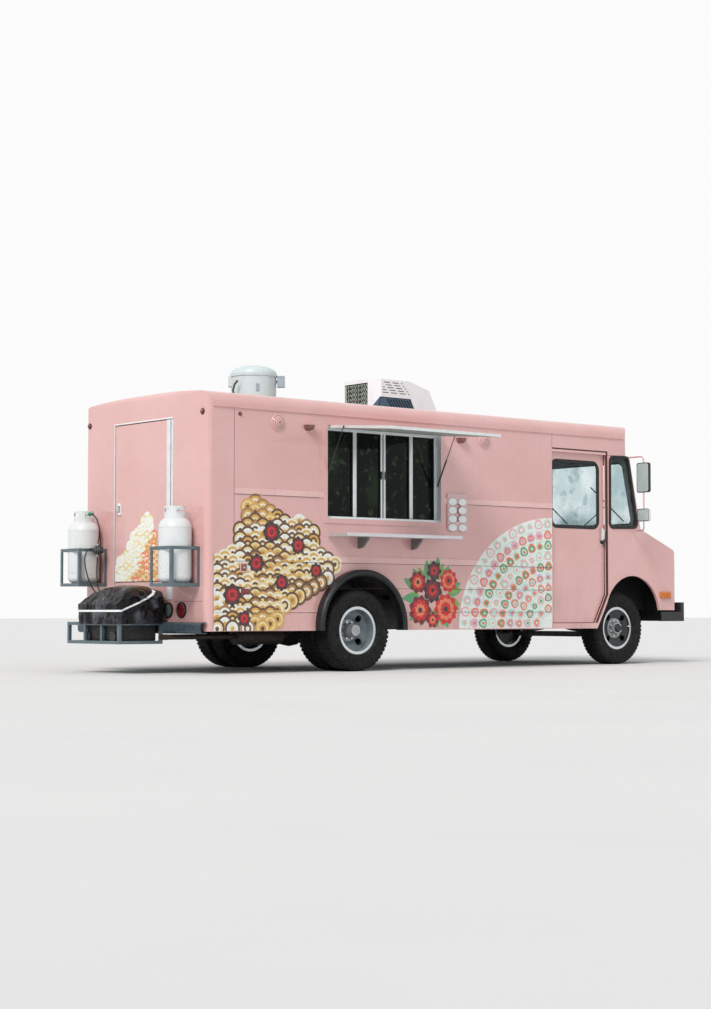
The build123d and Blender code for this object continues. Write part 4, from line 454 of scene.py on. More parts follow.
# Mesh making
AXES = {"X": (Vector((0, 1, 0)), Vector((0, 0, 1)), Vector((1, 0, 0))),
        "Y": (Vector((1, 0, 0)), Vector((0, 0, 1)), Vector((0, 1, 0))),
        "Z": (Vector((1, 0, 0)), Vector((0, 1, 0)), Vector((0, 0, 1)))}


class Shape:
    """A mesh in the making. Each form's index says which of the piece's looks its faces take."""

    def __init__(self):
        self.bm = bmesh.new()

    def paint(self, faces, index):
        for face in faces:
            face.material_index = index
        return self

    def loops(self, loops, closed=True, index=0, ends=(0, -1)):
        """Skin over rows of points with the same count: a ring of rows, or a run of them with shut ends."""
        rows = [[self.bm.verts.new(p) for p in loop] for loop in loops]
        count = len(rows[0])
        faces = []
        for row, after in zip(rows, rows[1:] + rows[:1] if closed else rows[1:]):
            for i in range(count):
                j = (i + 1) % count
                faces.append(self.bm.faces.new((row[i], row[j], after[j], after[i])))
        if not closed:
            faces += [self.bm.faces.new(rows[end]) for end in ends]
        return self.paint(faces, index)

    def block(self, one, other, bevel=0.0, segments=2, index=0):
        """A box between two opposite corners."""
        low, high = [[pick(a, b) for a, b in zip(one, other)] for pick in (min, max)]
        verts = bmesh.ops.create_cube(self.bm, size=1)["verts"]
        for vert in verts:
            vert.co = Vector(low[k] if vert.co[k] < 0 else high[k] for k in range(3))
        if bevel:
            edges = list(dict.fromkeys(edge for vert in verts for edge in vert.link_edges))
            verts = bmesh.ops.bevel(self.bm, geom=edges, offset=bevel, segments=segments, affect="EDGES",
                                    profile=0.5)["verts"]
        return self.paint({face for vert in verts for face in vert.link_faces}, index)

    def lathe(self, profile, centre, axis, steps=48, index=0, closed=False):
        """profile: (radius, place along the axis) from one end to the other, or closed on itself."""
        across, up, along = AXES[axis]
        centre = Vector(centre)
        return self.loops([[centre + along * place + (across * cos(a) + up * sin(a)) * max(radius, 1e-5)
                            for a in circle(steps)] for radius, place in profile], closed, index)

    def dome(self, centre, radius, height, axis, rings=3, steps=10, index=0):
        """A round head such as a rivet or a lens. A negative height points against the axis."""
        angles = [pi / 2 * k / rings for k in range(rings + 1)]
        return self.lathe([(radius * cos(a), height * sin(a)) for a in angles], centre, axis, steps, index)

    def tube(self, points, radius, sides=12, closed=False, index=0):
        """A round tube through points, with frames carried along so that it doesn't twist."""
        points = [Vector(p) for p in points]
        count = len(points)
        tangents = []
        for i, here in enumerate(points):
            before = points[i - 1] if closed or i else here
            after = points[(i + 1) % count] if closed or i < count - 1 else here
            tangents.append((after - before).normalized())
        side = tangents[0].orthogonal().normalized()
        loops = []
        for here, tangent in zip(points, tangents):
            side = (side - tangent * side.dot(tangent)).normalized()
            other = tangent.cross(side)
            loops.append([here + (side * cos(a) + other * sin(a)) * radius for a in circle(sides)])
        return self.loops(loops, closed, index)

    def moulding(self, outline, radius, section, place, steps=6, index=0):
        """A closed strip round an outline. section: (how far outside it, how far out of its plane)."""
        loops = []
        for margin, out in section:
            corners = rounded(grown(outline, margin), max(radius + margin, 0.002), steps)
            loops.append([place(u, v, out) for u, v in corners])
        return self.loops(loops, True, index)

    def piece(self, name, slot, body=TRUCK, looks="", sharp=35):
        """The mesh becomes a piece of the object, smooth but for edges sharper than so many degrees."""
        bmesh.ops.recalc_face_normals(self.bm, faces=self.bm.faces)
        mesh = bpy.data.meshes.new(name)
        self.bm.to_mesh(mesh)
        self.bm.free()
        for look in (looks or slot).split():
            mesh.materials.append(finish[look])
        mesh.shade_smooth()
        mesh.set_sharp_from_angle(angle=radians(sharp))
        piece = add_object(name, mesh)
        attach(piece, body)
        return piece


# Cords: each route repeats the points of its solid
HOSE_D = 0.012
HOSES = {
    "gas_pigtail": (0.41, [
        (-3.887, 0.7225, 1.5463), (-3.887, 0.6735, 1.5483), (-3.882, 0.6185, 1.520), (-3.871, 0.5835, 1.455),
        (-3.861, 0.5785, 1.380), (-3.853, 0.5955, 1.310), (-3.850, 0.6217, 1.268), (-3.850, 0.6257, 1.233)]),
    "gas_hose": (0.47, [
        (-3.850, 0.6257, 1.147), (-3.850, 0.6297, 1.090), (-3.858, 0.6277, 1.000), (-3.860, 0.6197, 0.910),
        (-3.848, 0.6237, 0.820), (-3.800, 0.6287, 0.755), (-3.728, 0.6297, 0.740)]),
    "gas_hose_loop": (0.67, [
        (-3.893, 0.6257, 1.206), (-3.935, 0.6237, 1.205), (-3.972, 0.6267, 1.184), (-3.992, 0.6297, 1.140),
        (-3.998, 0.6277, 1.080), (-3.990, 0.6237, 1.010), (-3.968, 0.6217, 0.930), (-3.934, 0.6257, 0.855),
        (-3.890, 0.6337, 0.795), (-3.832, 0.6497, 0.752), (-3.728, 0.6697, 0.734)]),
}
for name, (length, route) in HOSES.items():
    curve = bpy.data.curves.new(name + "_run", "CURVE")
    curve.dimensions = "3D"
    curve.bevel_depth = HOSE_D / 2
    curve.bevel_resolution = 4
    curve.use_fill_caps = True
    curve.resolution_u = 12
    spline = curve.splines.new("NURBS")
    spline.points.add(len(route) - 1)
    for point, place in zip(spline.points, route):
        point.co = (*place, 1)
    spline.order_u = 3
    spline.use_endpoint_u = True
    curve.materials.append(finish["hose_rubber"])
    piece = add_object(name + "_run", curve)
    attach(piece, TRUCK)
    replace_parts(piece, name)

# Tyres: a carcass with rounded shoulders, five ribs of blocks and shoulder lugs
TYRE_R = 0.4
# (radius, place along the axle) of one half of the carcass, from the tread's middle to the bead
CARCASS = [
    (0.3905, 0.0), (0.3905, 0.03), (0.39, 0.055), (0.388, 0.076), (0.384, 0.089), (0.376, 0.101),
    (0.364, 0.109), (0.358, 0.1115), (0.3565, 0.1138), (0.353, 0.1142), (0.345, 0.1155), (0.33, 0.117),
    (0.312, 0.1175), (0.2955, 0.1165), (0.2945, 0.1177), (0.289, 0.1177), (0.288, 0.1155), (0.27, 0.1125),
    (0.255, 0.109), (0.25, 0.1095), (0.2465, 0.1065), (0.241, 0.098), (0.2375, 0.088), (0.2352, 0.0765),
    (0.2225, 0.0755)]
BEAD_R = 0.2215
RIBS = (-0.058, -0.029, 0.0, 0.029, 0.058)
RIB_W = 0.022
# Shoulder lugs: (inner and outer place along the axle, inner and outer radius)
SHOULDER_LUGS = ((0.0745, 0.0915, 0.378, 0.3975), (0.088, 0.1015, 0.368, 0.3865))
TREAD_PITCHES = 54


def make_tyres(name, node, body, x, ys):
    tyres = Shape()
    pitch = 2 * pi / TREAD_PITCHES

    def tread(y, number, share, inner, outer, low, high):
        """A block of rubber that takes up a share of one pitch round the tyre."""
        start = number * pitch
        end = start + pitch * share
        ring = ((start, inner), (end, inner), (end, outer), (start, outer))
        tyres.loops([[(x + r * cos(a), y + place, AXLE_Z + r * sin(a)) for a, place in ring]
                     for r in (low, high)], False)

    profile = [(r, -s) for r, s in reversed(CARCASS[1:])] + CARCASS + [(BEAD_R, 0.0)]
    for y in ys:
        tyres.lathe(profile, (x, y, AXLE_Z), "Y", 96, closed=True)
        for k in range(TREAD_PITCHES):
            for number, rib in enumerate(RIBS):
                tread(y, k + 0.35 * (number % 2), 0.84, rib - RIB_W / 2, rib + RIB_W / 2, 0.388, TYRE_R)
            for side in (-1, 1):
                for inner, outer, low, high in SHOULDER_LUGS:
                    tread(y, k + 0.2, 0.62, side * inner, side * outer, low, high)
    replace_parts(tyres.piece(name, "tyre_rubber", body, sharp=28), node)


# Wheel fastenings: a clamping ring, eight nuts, studs and a valve on each wheel face
LUG_CIRCLE_R = 0.0825
LUGS = 8
FRONT_FACE, REAR_FACE = 0.042, -0.070


def make_wheel_fastenings(name, body, x, y, out, face):
    def profile(*points):
        return [(radius, out * (face + place)) for radius, place in points]

    made = Shape()
    ring = profile((0.066, 0), (0.066, 0.006), (0.104, 0.006), (0.107, 0.003), (0.107, 0))
    made.lathe(ring, (x, y, AXLE_Z), "Y", closed=True)
    for k in range(LUGS):
        angle = 2 * pi * (k + 0.5) / LUGS
        spot = (x + LUG_CIRCLE_R * cos(angle), y, AXLE_Z + LUG_CIRCLE_R * sin(angle))
        made.lathe(profile((0.0135, 0.006), (0.0135, 0.022), (0.01161, 0.026)), spot, "Y", 6, 1)
        made.lathe(profile((0.0065, 0.02), (0.0065, 0.034)), spot, "Y", 10, 1)
    valve = Vector((x + 0.175, y + out * (face + 0.016), AXLE_Z + 0.02))
    bends = ((0, 0, 0), (0.004, out * 0.02, 0), (0.014, out * 0.034, 0))
    made.tube([valve + Vector(bend) for bend in bends], 0.0035, 8, index=1)
    made.piece(name, "rim_silver", body, "rim_silver strut_chrome")


# Wheel discs in their own colours, a pale hub face, and bright flanges
HUB_R, HUB_FACE_R, DISC_R, FLANGE_R = 0.06, 0.1, 0.205, 0.215


def paint_rim(node, axle_x, disc):
    def reach(middle):
        return hypot(middle.x - axle_x, middle.z - AXLE_Z)

    repaint(node, disc, lambda m, n: reach(m) > HUB_FACE_R and (reach(m) < DISC_R or abs(n.y) <= 0.5))
    repaint(node, "rim_pale", lambda m, n: HUB_R < reach(m) < HUB_FACE_R)
    repaint(node, "rim_lip", lambda m, n: reach(m) > DISC_R and abs(n.y) > 0.5 or reach(m) > FLANGE_R)


for side, hand in HANDS:
    front, rear = f"wheel_front_{hand}", f"wheels_rear_{hand}"
    front_y, outer_y, inner_y = side * FRONT_Y, side * REAR_OUTER_Y, side * REAR_INNER_Y
    make_tyres(f"tread_front_{hand}", f"tyre_front_{hand}", front, FRONT_X, (front_y,))
    make_tyres(f"treads_rear_{hand}", f"tyres_rear_{hand}", rear, REAR_AXLE_X, (outer_y, inner_y))
    make_wheel_fastenings(f"lugs_front_{hand}", front, FRONT_X, front_y, side, FRONT_FACE)
    make_wheel_fastenings(f"lugs_rear_{hand}", rear, REAR_AXLE_X, outer_y, side, REAR_FACE)
    paint_rim(f"rim_front_{hand}", FRONT_X, "rim_dark")
    paint_rim(f"rims_rear_{hand}", REAR_AXLE_X, "rim_blue")
    repaint(f"rim_front_{hand}", "rim_dark", lambda m, n: hypot(m.x - FRONT_X, m.z - AXLE_Z) < 0.05)
    # A dust plate behind the front disc
    near, far = side * -0.020, side * -0.023
    Shape().lathe([(0.075, near), (0.075, far), (0.196, far), (0.196, near)], (FRONT_X, front_y, AXLE_Z), "Y",
                  closed=True).piece(f"dust_plate_{hand}", "rim_silver", front, "rim_dark")

# Aprons inside the rear arches, and between the front wheelhouses and the nose
APRON_Y = 0.545
APRON_SHEET = 0.003
rear_aprons = Shape()
splash_aprons = Shape()
for side, front_end in ((-1, REAR_AXLE_X + 1.25), (1, REAR_AXLE_X + 0.90)):
    near, far = side * APRON_Y, side * (APRON_Y + APRON_SHEET)
    rear_aprons.block((REAR_AXLE_X - 0.46, near, 0.400), (front_end, far, 0.985), 0.001)
    splash_aprons.block((2.555, side * 0.528, 0.602), (2.836, side * 0.534, 1.150), 0.001)
    splash_aprons.block((2.555, side * 0.528, 1.006), (2.836, side * 1.028, 1.012), 0.001)
rear_aprons.piece("rear_aprons", "chassis_black")
splash_aprons.piece("splash_aprons", "chassis_black")

# Printed artwork on the walls, as thin film that follows the mouldings
FILM = 0.0004
EDGE = 0.0006


def proud_at(z):
    for low, height, proud in MOULDINGS:
        rise = min((z - (low - EDGE)) / EDGE, (low + height + EDGE - z) / EDGE)
        if rise > 0:
            return proud * min(1, rise)
    return 0.0


class Film(Shape):
    """Flat shapes drawn in X and Z, or in Y and Z for the rear, then laid on the wall."""

    def __init__(self, looks):
        super().__init__()
        self.looks = looks
        self.inks = looks.split()
        self.layer = 0

    def row(self, points):
        return [self.bm.verts.new((u, FILM * (1 + self.layer), v)) for u, v in points]

    def face(self, points, ink):
        self.paint([self.bm.faces.new(self.row(points))], self.inks.index(ink))

    def ring(self, centre, inner, outer, ink, start=0.0, end=2 * pi, steps=20, stretch=1.0):
        u, v = centre
        angles = [start + (end - start) * k / steps for k in range(steps + 1)]
        near, far = [self.row([(u + stretch * radius * cos(a), v + radius * sin(a)) for a in angles])
                     for radius in (inner, outer)]
        faces = [self.bm.faces.new((near[k], near[k + 1], far[k + 1], far[k])) for k in range(steps)]
        self.paint(faces, self.inks.index(ink))

    def cut(self, place, normal, clear=True):
        geometry = self.bm.verts[:] + self.bm.edges[:] + self.bm.faces[:]
        bmesh.ops.bisect_plane(self.bm, geom=geometry, dist=1e-6, plane_co=place, plane_no=normal,
                               clear_outer=clear)

    def lay_on_right(self, name):
        for low, height, _ in MOULDINGS:
            for z in (low - EDGE, low, low + height, low + height + EDGE):
                self.cut((0, 0, z), (0, 0, 1), False)
        bmesh.ops.remove_doubles(self.bm, verts=self.bm.verts, dist=1e-6)
        for vert in self.bm.verts:
            vert.co.y = -(HALF_W + proud_at(vert.co.z) + vert.co.y)
        self.piece(name, "body_paint", looks=self.looks)

    def lay_on_rear(self, name, body):
        for vert in self.bm.verts:
            vert.co = Vector((REAR_X - vert.co.y, vert.co.x, vert.co.z))
        self.piece(name, "body_paint", body, self.looks)


def inside(u, v, outline):
    within = False
    for (u0, v0), (u1, v1) in zip(outline, outline[1:] + outline[:1]):
        if (v0 > v) != (v1 > v) and u < (u1 - u0) * (v - v0) / (v1 - v0) + u0:
            within = not within
    return within


def scale_rows(film, outline, radius, zone, dice):
    """Rows of overlapping round scales, from the top down, wherever their middles fall in the outline."""
    us, vs = [u for u, v in outline], [v for u, v in outline]
    rows = int((max(vs) - min(vs)) / (radius / 2)) + 1
    for row in range(rows):
        v = max(vs) - row * radius / 2
        film.layer = row * 0.35
        u = min(us) + (row % 2) * radius
        while u <= max(us):
            if inside(u, v, outline):
                palette = dice.choice(zone(u, v)).split()
                bands = len(palette)
                for k, ink in enumerate(palette):
                    outer, inner = radius * (1 - k / bands), radius * (1 - (k + 1) / bands)
                    film.ring((u, v), inner, outer, ink, steps=18)
            u += 2 * radius


# A mound of scales behind the rear wheel, with round rosettes on it: middle in X and Z, radius
MOUND = [
    (-3.68, 0.42), (-3.70, 0.98), (-3.52, 1.14), (-3.40, 1.22), (-3.34, 1.44), (-3.22, 1.70), (-3.00, 1.60),
    (-2.84, 1.46), (-2.48, 1.42), (-2.40, 1.14), (-2.14, 1.08), (-2.30, 0.86), (-2.42, 0.76), (-2.70, 0.68),
    (-3.00, 0.42)]
CREAMS = ("brown white cream gold", "brown straw white brown", "cream gold cream brown",
          "tan white brown cream", "brown gold brown straw", "white cream gold tan")
GOLDS = ("brown gold straw tan", "gold straw gold brown", "tan gold cream gold")
STRAWS = ("straw cream gold brown", "brown straw gold tan", "brown tan cream gold", "gold cream brown straw")
ROSETTES = ((-3.44, 0.74, 0.10), (-3.16, 1.04, 0.085), (-2.98, 1.34, 0.095), (-2.66, 1.22, 0.08),
            (-2.86, 0.86, 0.075), (-3.30, 0.52, 0.07), (-2.44, 0.98, 0.07))
ABOVE_SKIRT = ((0, 0, SKIRT_Z + 0.004), (0, 0, -1))


def mound_zone(u, v):
    if v > 1.36 and u < -2.95:
        return GOLDS
    if u > -3.25 and v < 1.25 - 0.45 * (u + 3.1):
        return STRAWS if v > 0.6 else GOLDS
    return CREAMS


film = Film("cream gold straw brown tan wine white dark red")
scale_rows(film, MOUND, 0.088, mound_zone, Random(5))
top_layer = film.layer + 1
for u, v, reach in ROSETTES:
    for depth, ink in enumerate(("dark", "wine", "red", "wine")):
        film.layer = top_layer + 0.5 * depth
        points = []
        for angle in circle(48):
            wave = reach * (1 - 0.24 * depth) * (1 + 0.09 * cos(8 * angle + depth * pi))
            points.append((u + wave * cos(angle), v + wave * sin(angle)))
        film.face(points, ink)
film.cut(*ABOVE_SKIRT)
film.cut((REAR_X + 0.075, 0, 0), (-1, 0, 0))
film.lay_on_right("artwork_mound")


def pointed(base, length, half_width, power, taper, steps, angle):
    """The outline of a petal or a leaf, pointed at both ends."""
    points = []
    for step in range(steps + 1):
        t = step / steps
        points.append((t * length, half_width * sin(pi * t) ** power * (1 - taper * t)))
    outline = points + [(a, -b) for a, b in reversed(points[1:-1])]
    return [(base[0] + a * cos(angle) - b * sin(angle), base[1] + a * sin(angle) + b * cos(angle))
            for a, b in outline]


# A bunch of flowers: middle in X and Z, radius, petals
FLOWERS = ((-1.09, 0.60, 0.155, 9), (-0.74, 0.61, 0.165, 10), (-0.92, 0.80, 0.135, 8), (-1.12, 0.88, 0.12, 8),
           (-0.70, 0.90, 0.125, 9), (-0.90, 1.00, 0.105, 7), (-0.92, 0.50, 0.085, 7))
FLOWER_TONES = ("wine red coral", "red coral red", "dark wine red")
LEAVES = 26
film = Film("red coral wine dark green leaf")
for number in range(LEAVES):
    dice = Random(40 + number)
    angle = 2 * pi * number / LEAVES
    film.layer = 0.03 * number
    length = dice.uniform(0.17, 0.25)
    turn = angle + dice.uniform(-0.3, 0.3)
    base = (-0.91 + 0.19 * cos(angle), 0.76 + 0.15 * sin(angle))
    film.face(pointed(base, length, length * 0.24, 0.8, 0.35, 10, turn), ("green", "leaf")[number % 2])
film.layer = 1.2
for number, (u, v, radius, petals) in enumerate(FLOWERS):
    for ring, ink in enumerate(FLOWER_TONES[number % 3].split()):
        reach = radius * (1 - 0.27 * ring)
        for k in range(petals):
            film.layer += 0.02
            angle = number * 0.7 + (k + 0.5 * (ring % 2)) * 2 * pi / petals
            film.face(pointed((u, v), reach, reach * 0.36, 0.75, 0, 12, angle), ink)
    film.layer += 0.1
    film.face([(u + radius * 0.17 * cos(a), v + radius * 0.17 * sin(a)) for a in circle(16)], "dark")
film.cut(*ABOVE_SKIRT)
film.lay_on_right("artwork_flowers")

# A quarter of a round window pattern, its middle at the foot of the door edge
FAN_AT = (0.808, 0.41)
FAN_STRETCH = 1.16
# Rings: middle radius, half height, count in the quarter, inks
FAN_RINGS = ((1.105, 0.062, 15, ("mint", "pink", "white")), (0.985, 0.055, 14, ("coral", "pink", "lilac")),
             (0.875, 0.058, 13, ("green", "mint", "coral")), (0.760, 0.055, 11, ("pink", "mint", "white")),
             (0.650, 0.055, 10, ("coral", "green", "pink")), (0.540, 0.052, 8, ("mint", "lilac", "coral")),
             (0.430, 0.052, 7, ("pink", "coral", "mint")), (0.320, 0.050, 5, ("green", "pink", "mint")),
             (0.205, 0.050, 3, ("coral", "mint", "pink")))
film = Film("white mint green pink coral lilac")
film.ring(FAN_AT, 0.0, 1.175, "white", pi / 2, pi, 90, FAN_STRETCH)
for middle, half, count, tones in FAN_RINGS:
    film.layer = 0.6
    film.ring(FAN_AT, middle - half, middle - half + 0.008, "mint", pi / 2, pi, 60, FAN_STRETCH)
    for k in range(count):
        angle = pi / 2 + (k + 0.5) * (pi / 2) / count
        width = middle * (pi / 2) / count * 0.46
        for depth, share in enumerate((1.0, 0.66, 0.34)):
            film.layer = 1.2 + 0.4 * depth
            points = []
            for a in circle(20):
                along = middle + half * 0.88 * share * sin(a) * (1 + 0.25 * sin(a))
                across = width * share * cos(a)
                points.append((FAN_AT[0] + FAN_STRETCH * (along * cos(angle) - across * sin(angle)),
                               FAN_AT[1] + along * sin(angle) + across * cos(angle)))
            film.face(points, tones[(depth + k) % 3])
film.cut((0.811, 0, 0), (1, 0, 0))
film.lay_on_right("artwork_fan")

# Scales on the rear door, heaped highest near its middle
REAR_ART = [(0.485, 0.86), (0.485, 1.02), (0.42, 1.12), (0.30, 1.18), (0.20, 1.32), (0.08, 1.38),
            (-0.02, 1.52), (-0.13, 1.48), (-0.20, 1.28), (-0.29, 1.12), (-0.36, 0.86)]
DOOR_CREAMS = ("white cream white", "straw white cream", "cream white straw")
DOOR_CORALS = ("coral cream coral", "gold coral straw", "straw coral gold")
film = Film("cream gold straw brown coral white")
scale_rows(film, REAR_ART, 0.060, lambda u, v: DOOR_CREAMS if u > 0.9 - 0.8 * v else DOOR_CORALS, Random(8))
film.cut((0.496, 0, 0), (1, 0, 0))
film.cut((0, 0, 0.878), (0, 0, -1))
film.lay_on_rear("artwork_door", "back_door")

# Rubber gaskets round the cab's windows, with the wipers on the windshield's
WIDE_GASKET = ((0.024, 0.0005), (0.022, 0.008), (0.011, 0.013), (-0.004, 0.011), (-0.014, 0.002),
               (-0.016, -0.0115), (-0.002, -0.0118))
FLAT_GASKET = ((0.024, 0.0004), (0.021, 0.0038), (0.004, 0.0046), (-0.010, 0.0030), (-0.016, -0.0070),
               (0.000, -0.0076))
DOOR_WINDOW = rectangle(0.845, 1.563, 1.509, 2.213)
VENT = [(1.725, 1.519), (2.162, 1.531), (2.012, 2.294), (1.733, 2.288)]
SCREEN = rectangle(-0.955, 0.955, 1.560, 2.255)
SCREEN_FOOT = Vector((2.222, 0, 1.505))
SCREEN_HEAD = Vector((2.040, 0, 2.310))
WIPER_Z, BLADE_Z = 1.535, 1.80
WIPER_HUB = [(0.022, -0.012), (0.022, 0.004), (0.014, 0.012)]
screen_up = (SCREEN_HEAD - SCREEN_FOOT) / (SCREEN_HEAD.z - SCREEN_FOOT.z)
screen_out = Vector((screen_up.z, 0, -screen_up.x)).normalized()


def on_screen(u, v, out):
    return SCREEN_FOOT + screen_up * (v - SCREEN_FOOT.z) + Vector((0, u, 0)) + screen_out * out


for side, hand in HANDS:
    Shape().moulding(DOOR_WINDOW, 0.075, FLAT_GASKET, on_side(side, DOOR_Y), 10).piece(
        f"gasket_door_{hand}", "black_rubber", f"cab_door_{hand}")
    Shape().moulding(VENT, 0.045, WIDE_GASKET, on_side(side), 8).piece(f"gasket_vent_{hand}", "black_rubber")
made = Shape().moulding(SCREEN, 0.07, WIDE_GASKET, on_screen, 10)
for foot in (-0.10, 0.78):
    pivot = on_screen(foot - 0.02, WIPER_Z, 0.02)
    tip = on_screen(foot - 0.50, BLADE_Z, 0.026)
    blade = [on_screen(foot - 0.50 + 0.21 * t, BLADE_Z + 0.20 * t, 0.016) for t in (-1, -0.5, 0, 0.5, 1)]
    made.lathe(WIPER_HUB, on_screen(foot - 0.02, WIPER_Z, 0.01), "X", 16)
    made.tube([pivot, (pivot * 2 + tip) / 3 + screen_out * 0.012, tip], 0.006, 8)
    made.tube(blade, 0.007, 6)
made.piece("gasket_windshield", "black_rubber")

# Door surrounds: dark strips of painted shade in the gap in front of each door and above it, rivets, and a
# pull
POST_X = 1.664
GAP_SHADE_TOP_Z = 2.345
GAP_SHADE_W = 0.020
# The foot of the post, and of the slanted edge below it
POST_FOOT, SLANT_FOOT = (1.668, 0.772), (1.491, 0.461)
GAP_SHADE = [(POST_X - 0.004, GAP_SHADE_TOP_Z), (POST_X - 0.004, POST_FOOT[1]),
        (SLANT_FOOT[0] - 0.004, SLANT_FOOT[1]), (SLANT_FOOT[0] + GAP_SHADE_W, SLANT_FOOT[1]),
        (POST_FOOT[0] + GAP_SHADE_W - 0.004, POST_FOOT[1]), (POST_X + GAP_SHADE_W, GAP_SHADE_TOP_Z)]
for side, hand in HANDS:
    outer_y = side * (HALF_W + 0.0018)
    # Painted shade: a dark strip in the gap before the door, and another in the gap above the door
    made = Shape().loops([[(u, y, v) for u, v in GAP_SHADE] for y in (side * (HALF_W - 0.012), outer_y)], False)
    made.block((0.815, side * (HALF_W - 0.02), 2.337), (POST_X + GAP_SHADE_W, outer_y, 2.352), 0.001)
    made.piece(f"door_gap_shade_{hand}", "black_rubber", looks="seam_dark")
    made = Shape()
    pull = side * DOOR_Y
    for k in range(6):
        made.dome((0.86 + 0.145 * k, pull, 2.298), 0.006, side * 0.003, "Y")
    made.block((1.588, pull, 1.315), (1.646, pull + side * 0.005, 1.500), 0.004, 3, 1)
    made.block((1.600, pull, 1.375), (1.638, pull + side * 0.040, 1.490), 0.012, 4, 1)
    made.block((1.606, pull, 1.325), (1.634, pull + side * 0.034, 1.378), 0.008, 3, 2)
    made.piece(f"door_fittings_{hand}", "body_paint", f"cab_door_{hand}",
               "body_paint strut_chrome bumper_black")

# Serving window: rubber round each pane, light tracks and a catch on each slider
PANES = ((-2.273, -1.914), (-1.864, -1.551), (-1.483, -1.170), (-1.122, -0.832))
PANE_Z = (1.517, 2.358)
SASH_FACE_Y = 0.985
WINDOW_X = (-2.296, -0.809)
GLAZING = ((0.001, 0.0005), (0.000, 0.0025), (-0.007, 0.0015), (-0.009, -0.010), (0.000, -0.010))
made = Shape()
for x0, x1 in PANES:
    made.moulding(rectangle(x0, x1, *PANE_Z), 0.004, GLAZING, on_side(-1, SASH_FACE_Y), 2)
made.piece("pane_gaskets", "black_rubber")
made = Shape()
for z0, z1 in ((1.494, 1.502), (2.372, 2.382)):
    made.block((WINDOW_X[0], -1.040, z0), (WINDOW_X[1], -0.986, z1), 0.001)
for x0, x1 in ((-1.912, -1.867), (-1.168, -1.124)):
    made.block((x0, -0.9895, 1.519), (x1, -0.984, 2.356), 0.001)
for y in (-1.036, -1.016, -0.996):
    made.block((WINDOW_X[0], y, 1.501), (WINDOW_X[1], y + 0.004, 1.514), 0.0008)
for x in (-1.545, -1.489):
    made.block((x - 0.008, -0.997, 1.905), (x + 0.008, -0.985, 1.985), 0.003, 3, 1)
made.piece("window_tracks", "window_alloy", looks="window_alloy bumper_black")

# Rivets along the awning's hinge
awning_low, awning_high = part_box("awning")
made = Shape()
for k in range(12):
    x = awning_low.x + 0.08 + (awning_high.x - awning_low.x - 0.16) * k / 11
    made.dome((x, -1.150, awning_high.z - 0.0062), 0.006, 0.004, "Z")
made.piece("awning_rivets", "window_alloy", "awning_panel")

# A menu board on the serving side: eight blank ovals with bronze rims
BOARD = rectangle(-0.722, -0.438, 1.413, 1.796)
BOARD_SECTION = ((0, 0.0075), (0, 0.011), (-0.10, 0.0112), (-0.10, 0.0075))
OVAL_W, OVAL_H = 0.059, 0.038
OVAL_SECTION = ((1.0, 0.0), (1.0, 0.55), (0.94, 0.85), (0.5, 1.0), (0.06, 1.02))
made = Shape().moulding(BOARD, 0.012, BOARD_SECTION, on_side(-1))
for x in (-0.652, -0.512):
    for row in range(4):
        centre = Vector((x, -HALF_W - 0.0112, 1.712 - 0.089 * row))
        for stretch, thick, index in ((1.08, 0.0022, 2), (1.0, 0.0062, 1)):
            made.loops([[centre + Vector((OVAL_W * stretch * share * cos(a), -thick * rise,
                                          OVAL_H * stretch * share * sin(a))) for a in circle(36)]
                        for share, rise in OVAL_SECTION], False, index)
made.piece("menu_board", "body_paint", looks="board_pink reflective_white lamp_bronze")

# Round vents with stepped faces, and bowl lamps under small caps
VENT_PROFILE = [(0.083, 0.0), (0.083, -0.008), (0.078, -0.013), (0.066, -0.013), (0.063, -0.017),
                (0.050, -0.020), (0.046, -0.024), (0.032, -0.027), (0.029, -0.030), (0.016, -0.032)]
made = Shape()
for x, z in ((-0.19, 2.374), (-2.905, 2.389)):
    at = (x, -HALF_W, z)
    made.lathe(VENT_PROFILE, at, "Y")
    # Thin bronze rings at the steps of the face: painted shade along each step
    for radius, out in ((0.0665, 0.0135), (0.0475, 0.0225), (0.0305, 0.0285)):
        ring = [(radius - 0.002, -out), (radius, -out - 0.0012), (radius + 0.002, -out)]
        made.lathe(ring, at, "Y", 48, 2, True)
    made.lathe([(0.008, -0.030), (0.008, -0.037), (0.005, -0.039)], at, "Y", 12, 1)
made.piece("round_vents", "body_paint", looks="body_paint bumper_black lamp_bronze")

BOWL_W, BOWL_H, BOWL_OUT = 0.056, 0.052, 0.075
made = Shape()
for x, z in ((-0.53, 2.372), (-2.535, 2.384)):
    loops = []
    for k in range(8):
        turn = pi / 2 * k / 7.4
        wide, out = BOWL_W * cos(turn) ** 0.6, BOWL_OUT * cos(turn) ** 0.6
        loops.append([(x + wide * cos(pi * s / 18), -HALF_W - out * sin(pi * s / 18), z - BOWL_H * sin(turn))
                      for s in range(19)])
    made.loops(loops, False)
    cap_w = BOWL_W + 0.004
    made.block((x - cap_w, -HALF_W - BOWL_OUT * 0.9, z), (x + cap_w, -HALF_W, z + 0.008), 0.003, index=1)
made.piece("bowl_lamps", "body_paint", looks="lamp_bronze body_paint")

# Red reflectors and lamps on the walls, the seams of the walls' sheets, and painted shadow lines under the
# mouldings
SEAM_OUT = 0.0009
SEAM_W = 0.003
# The shadow lines under the mouldings: the top one stops beside the serving window
FULL_LINE = ((-3.415, 0.810),)
TOP_LINES = ((-3.415, -2.40), (-0.70, 0.810))
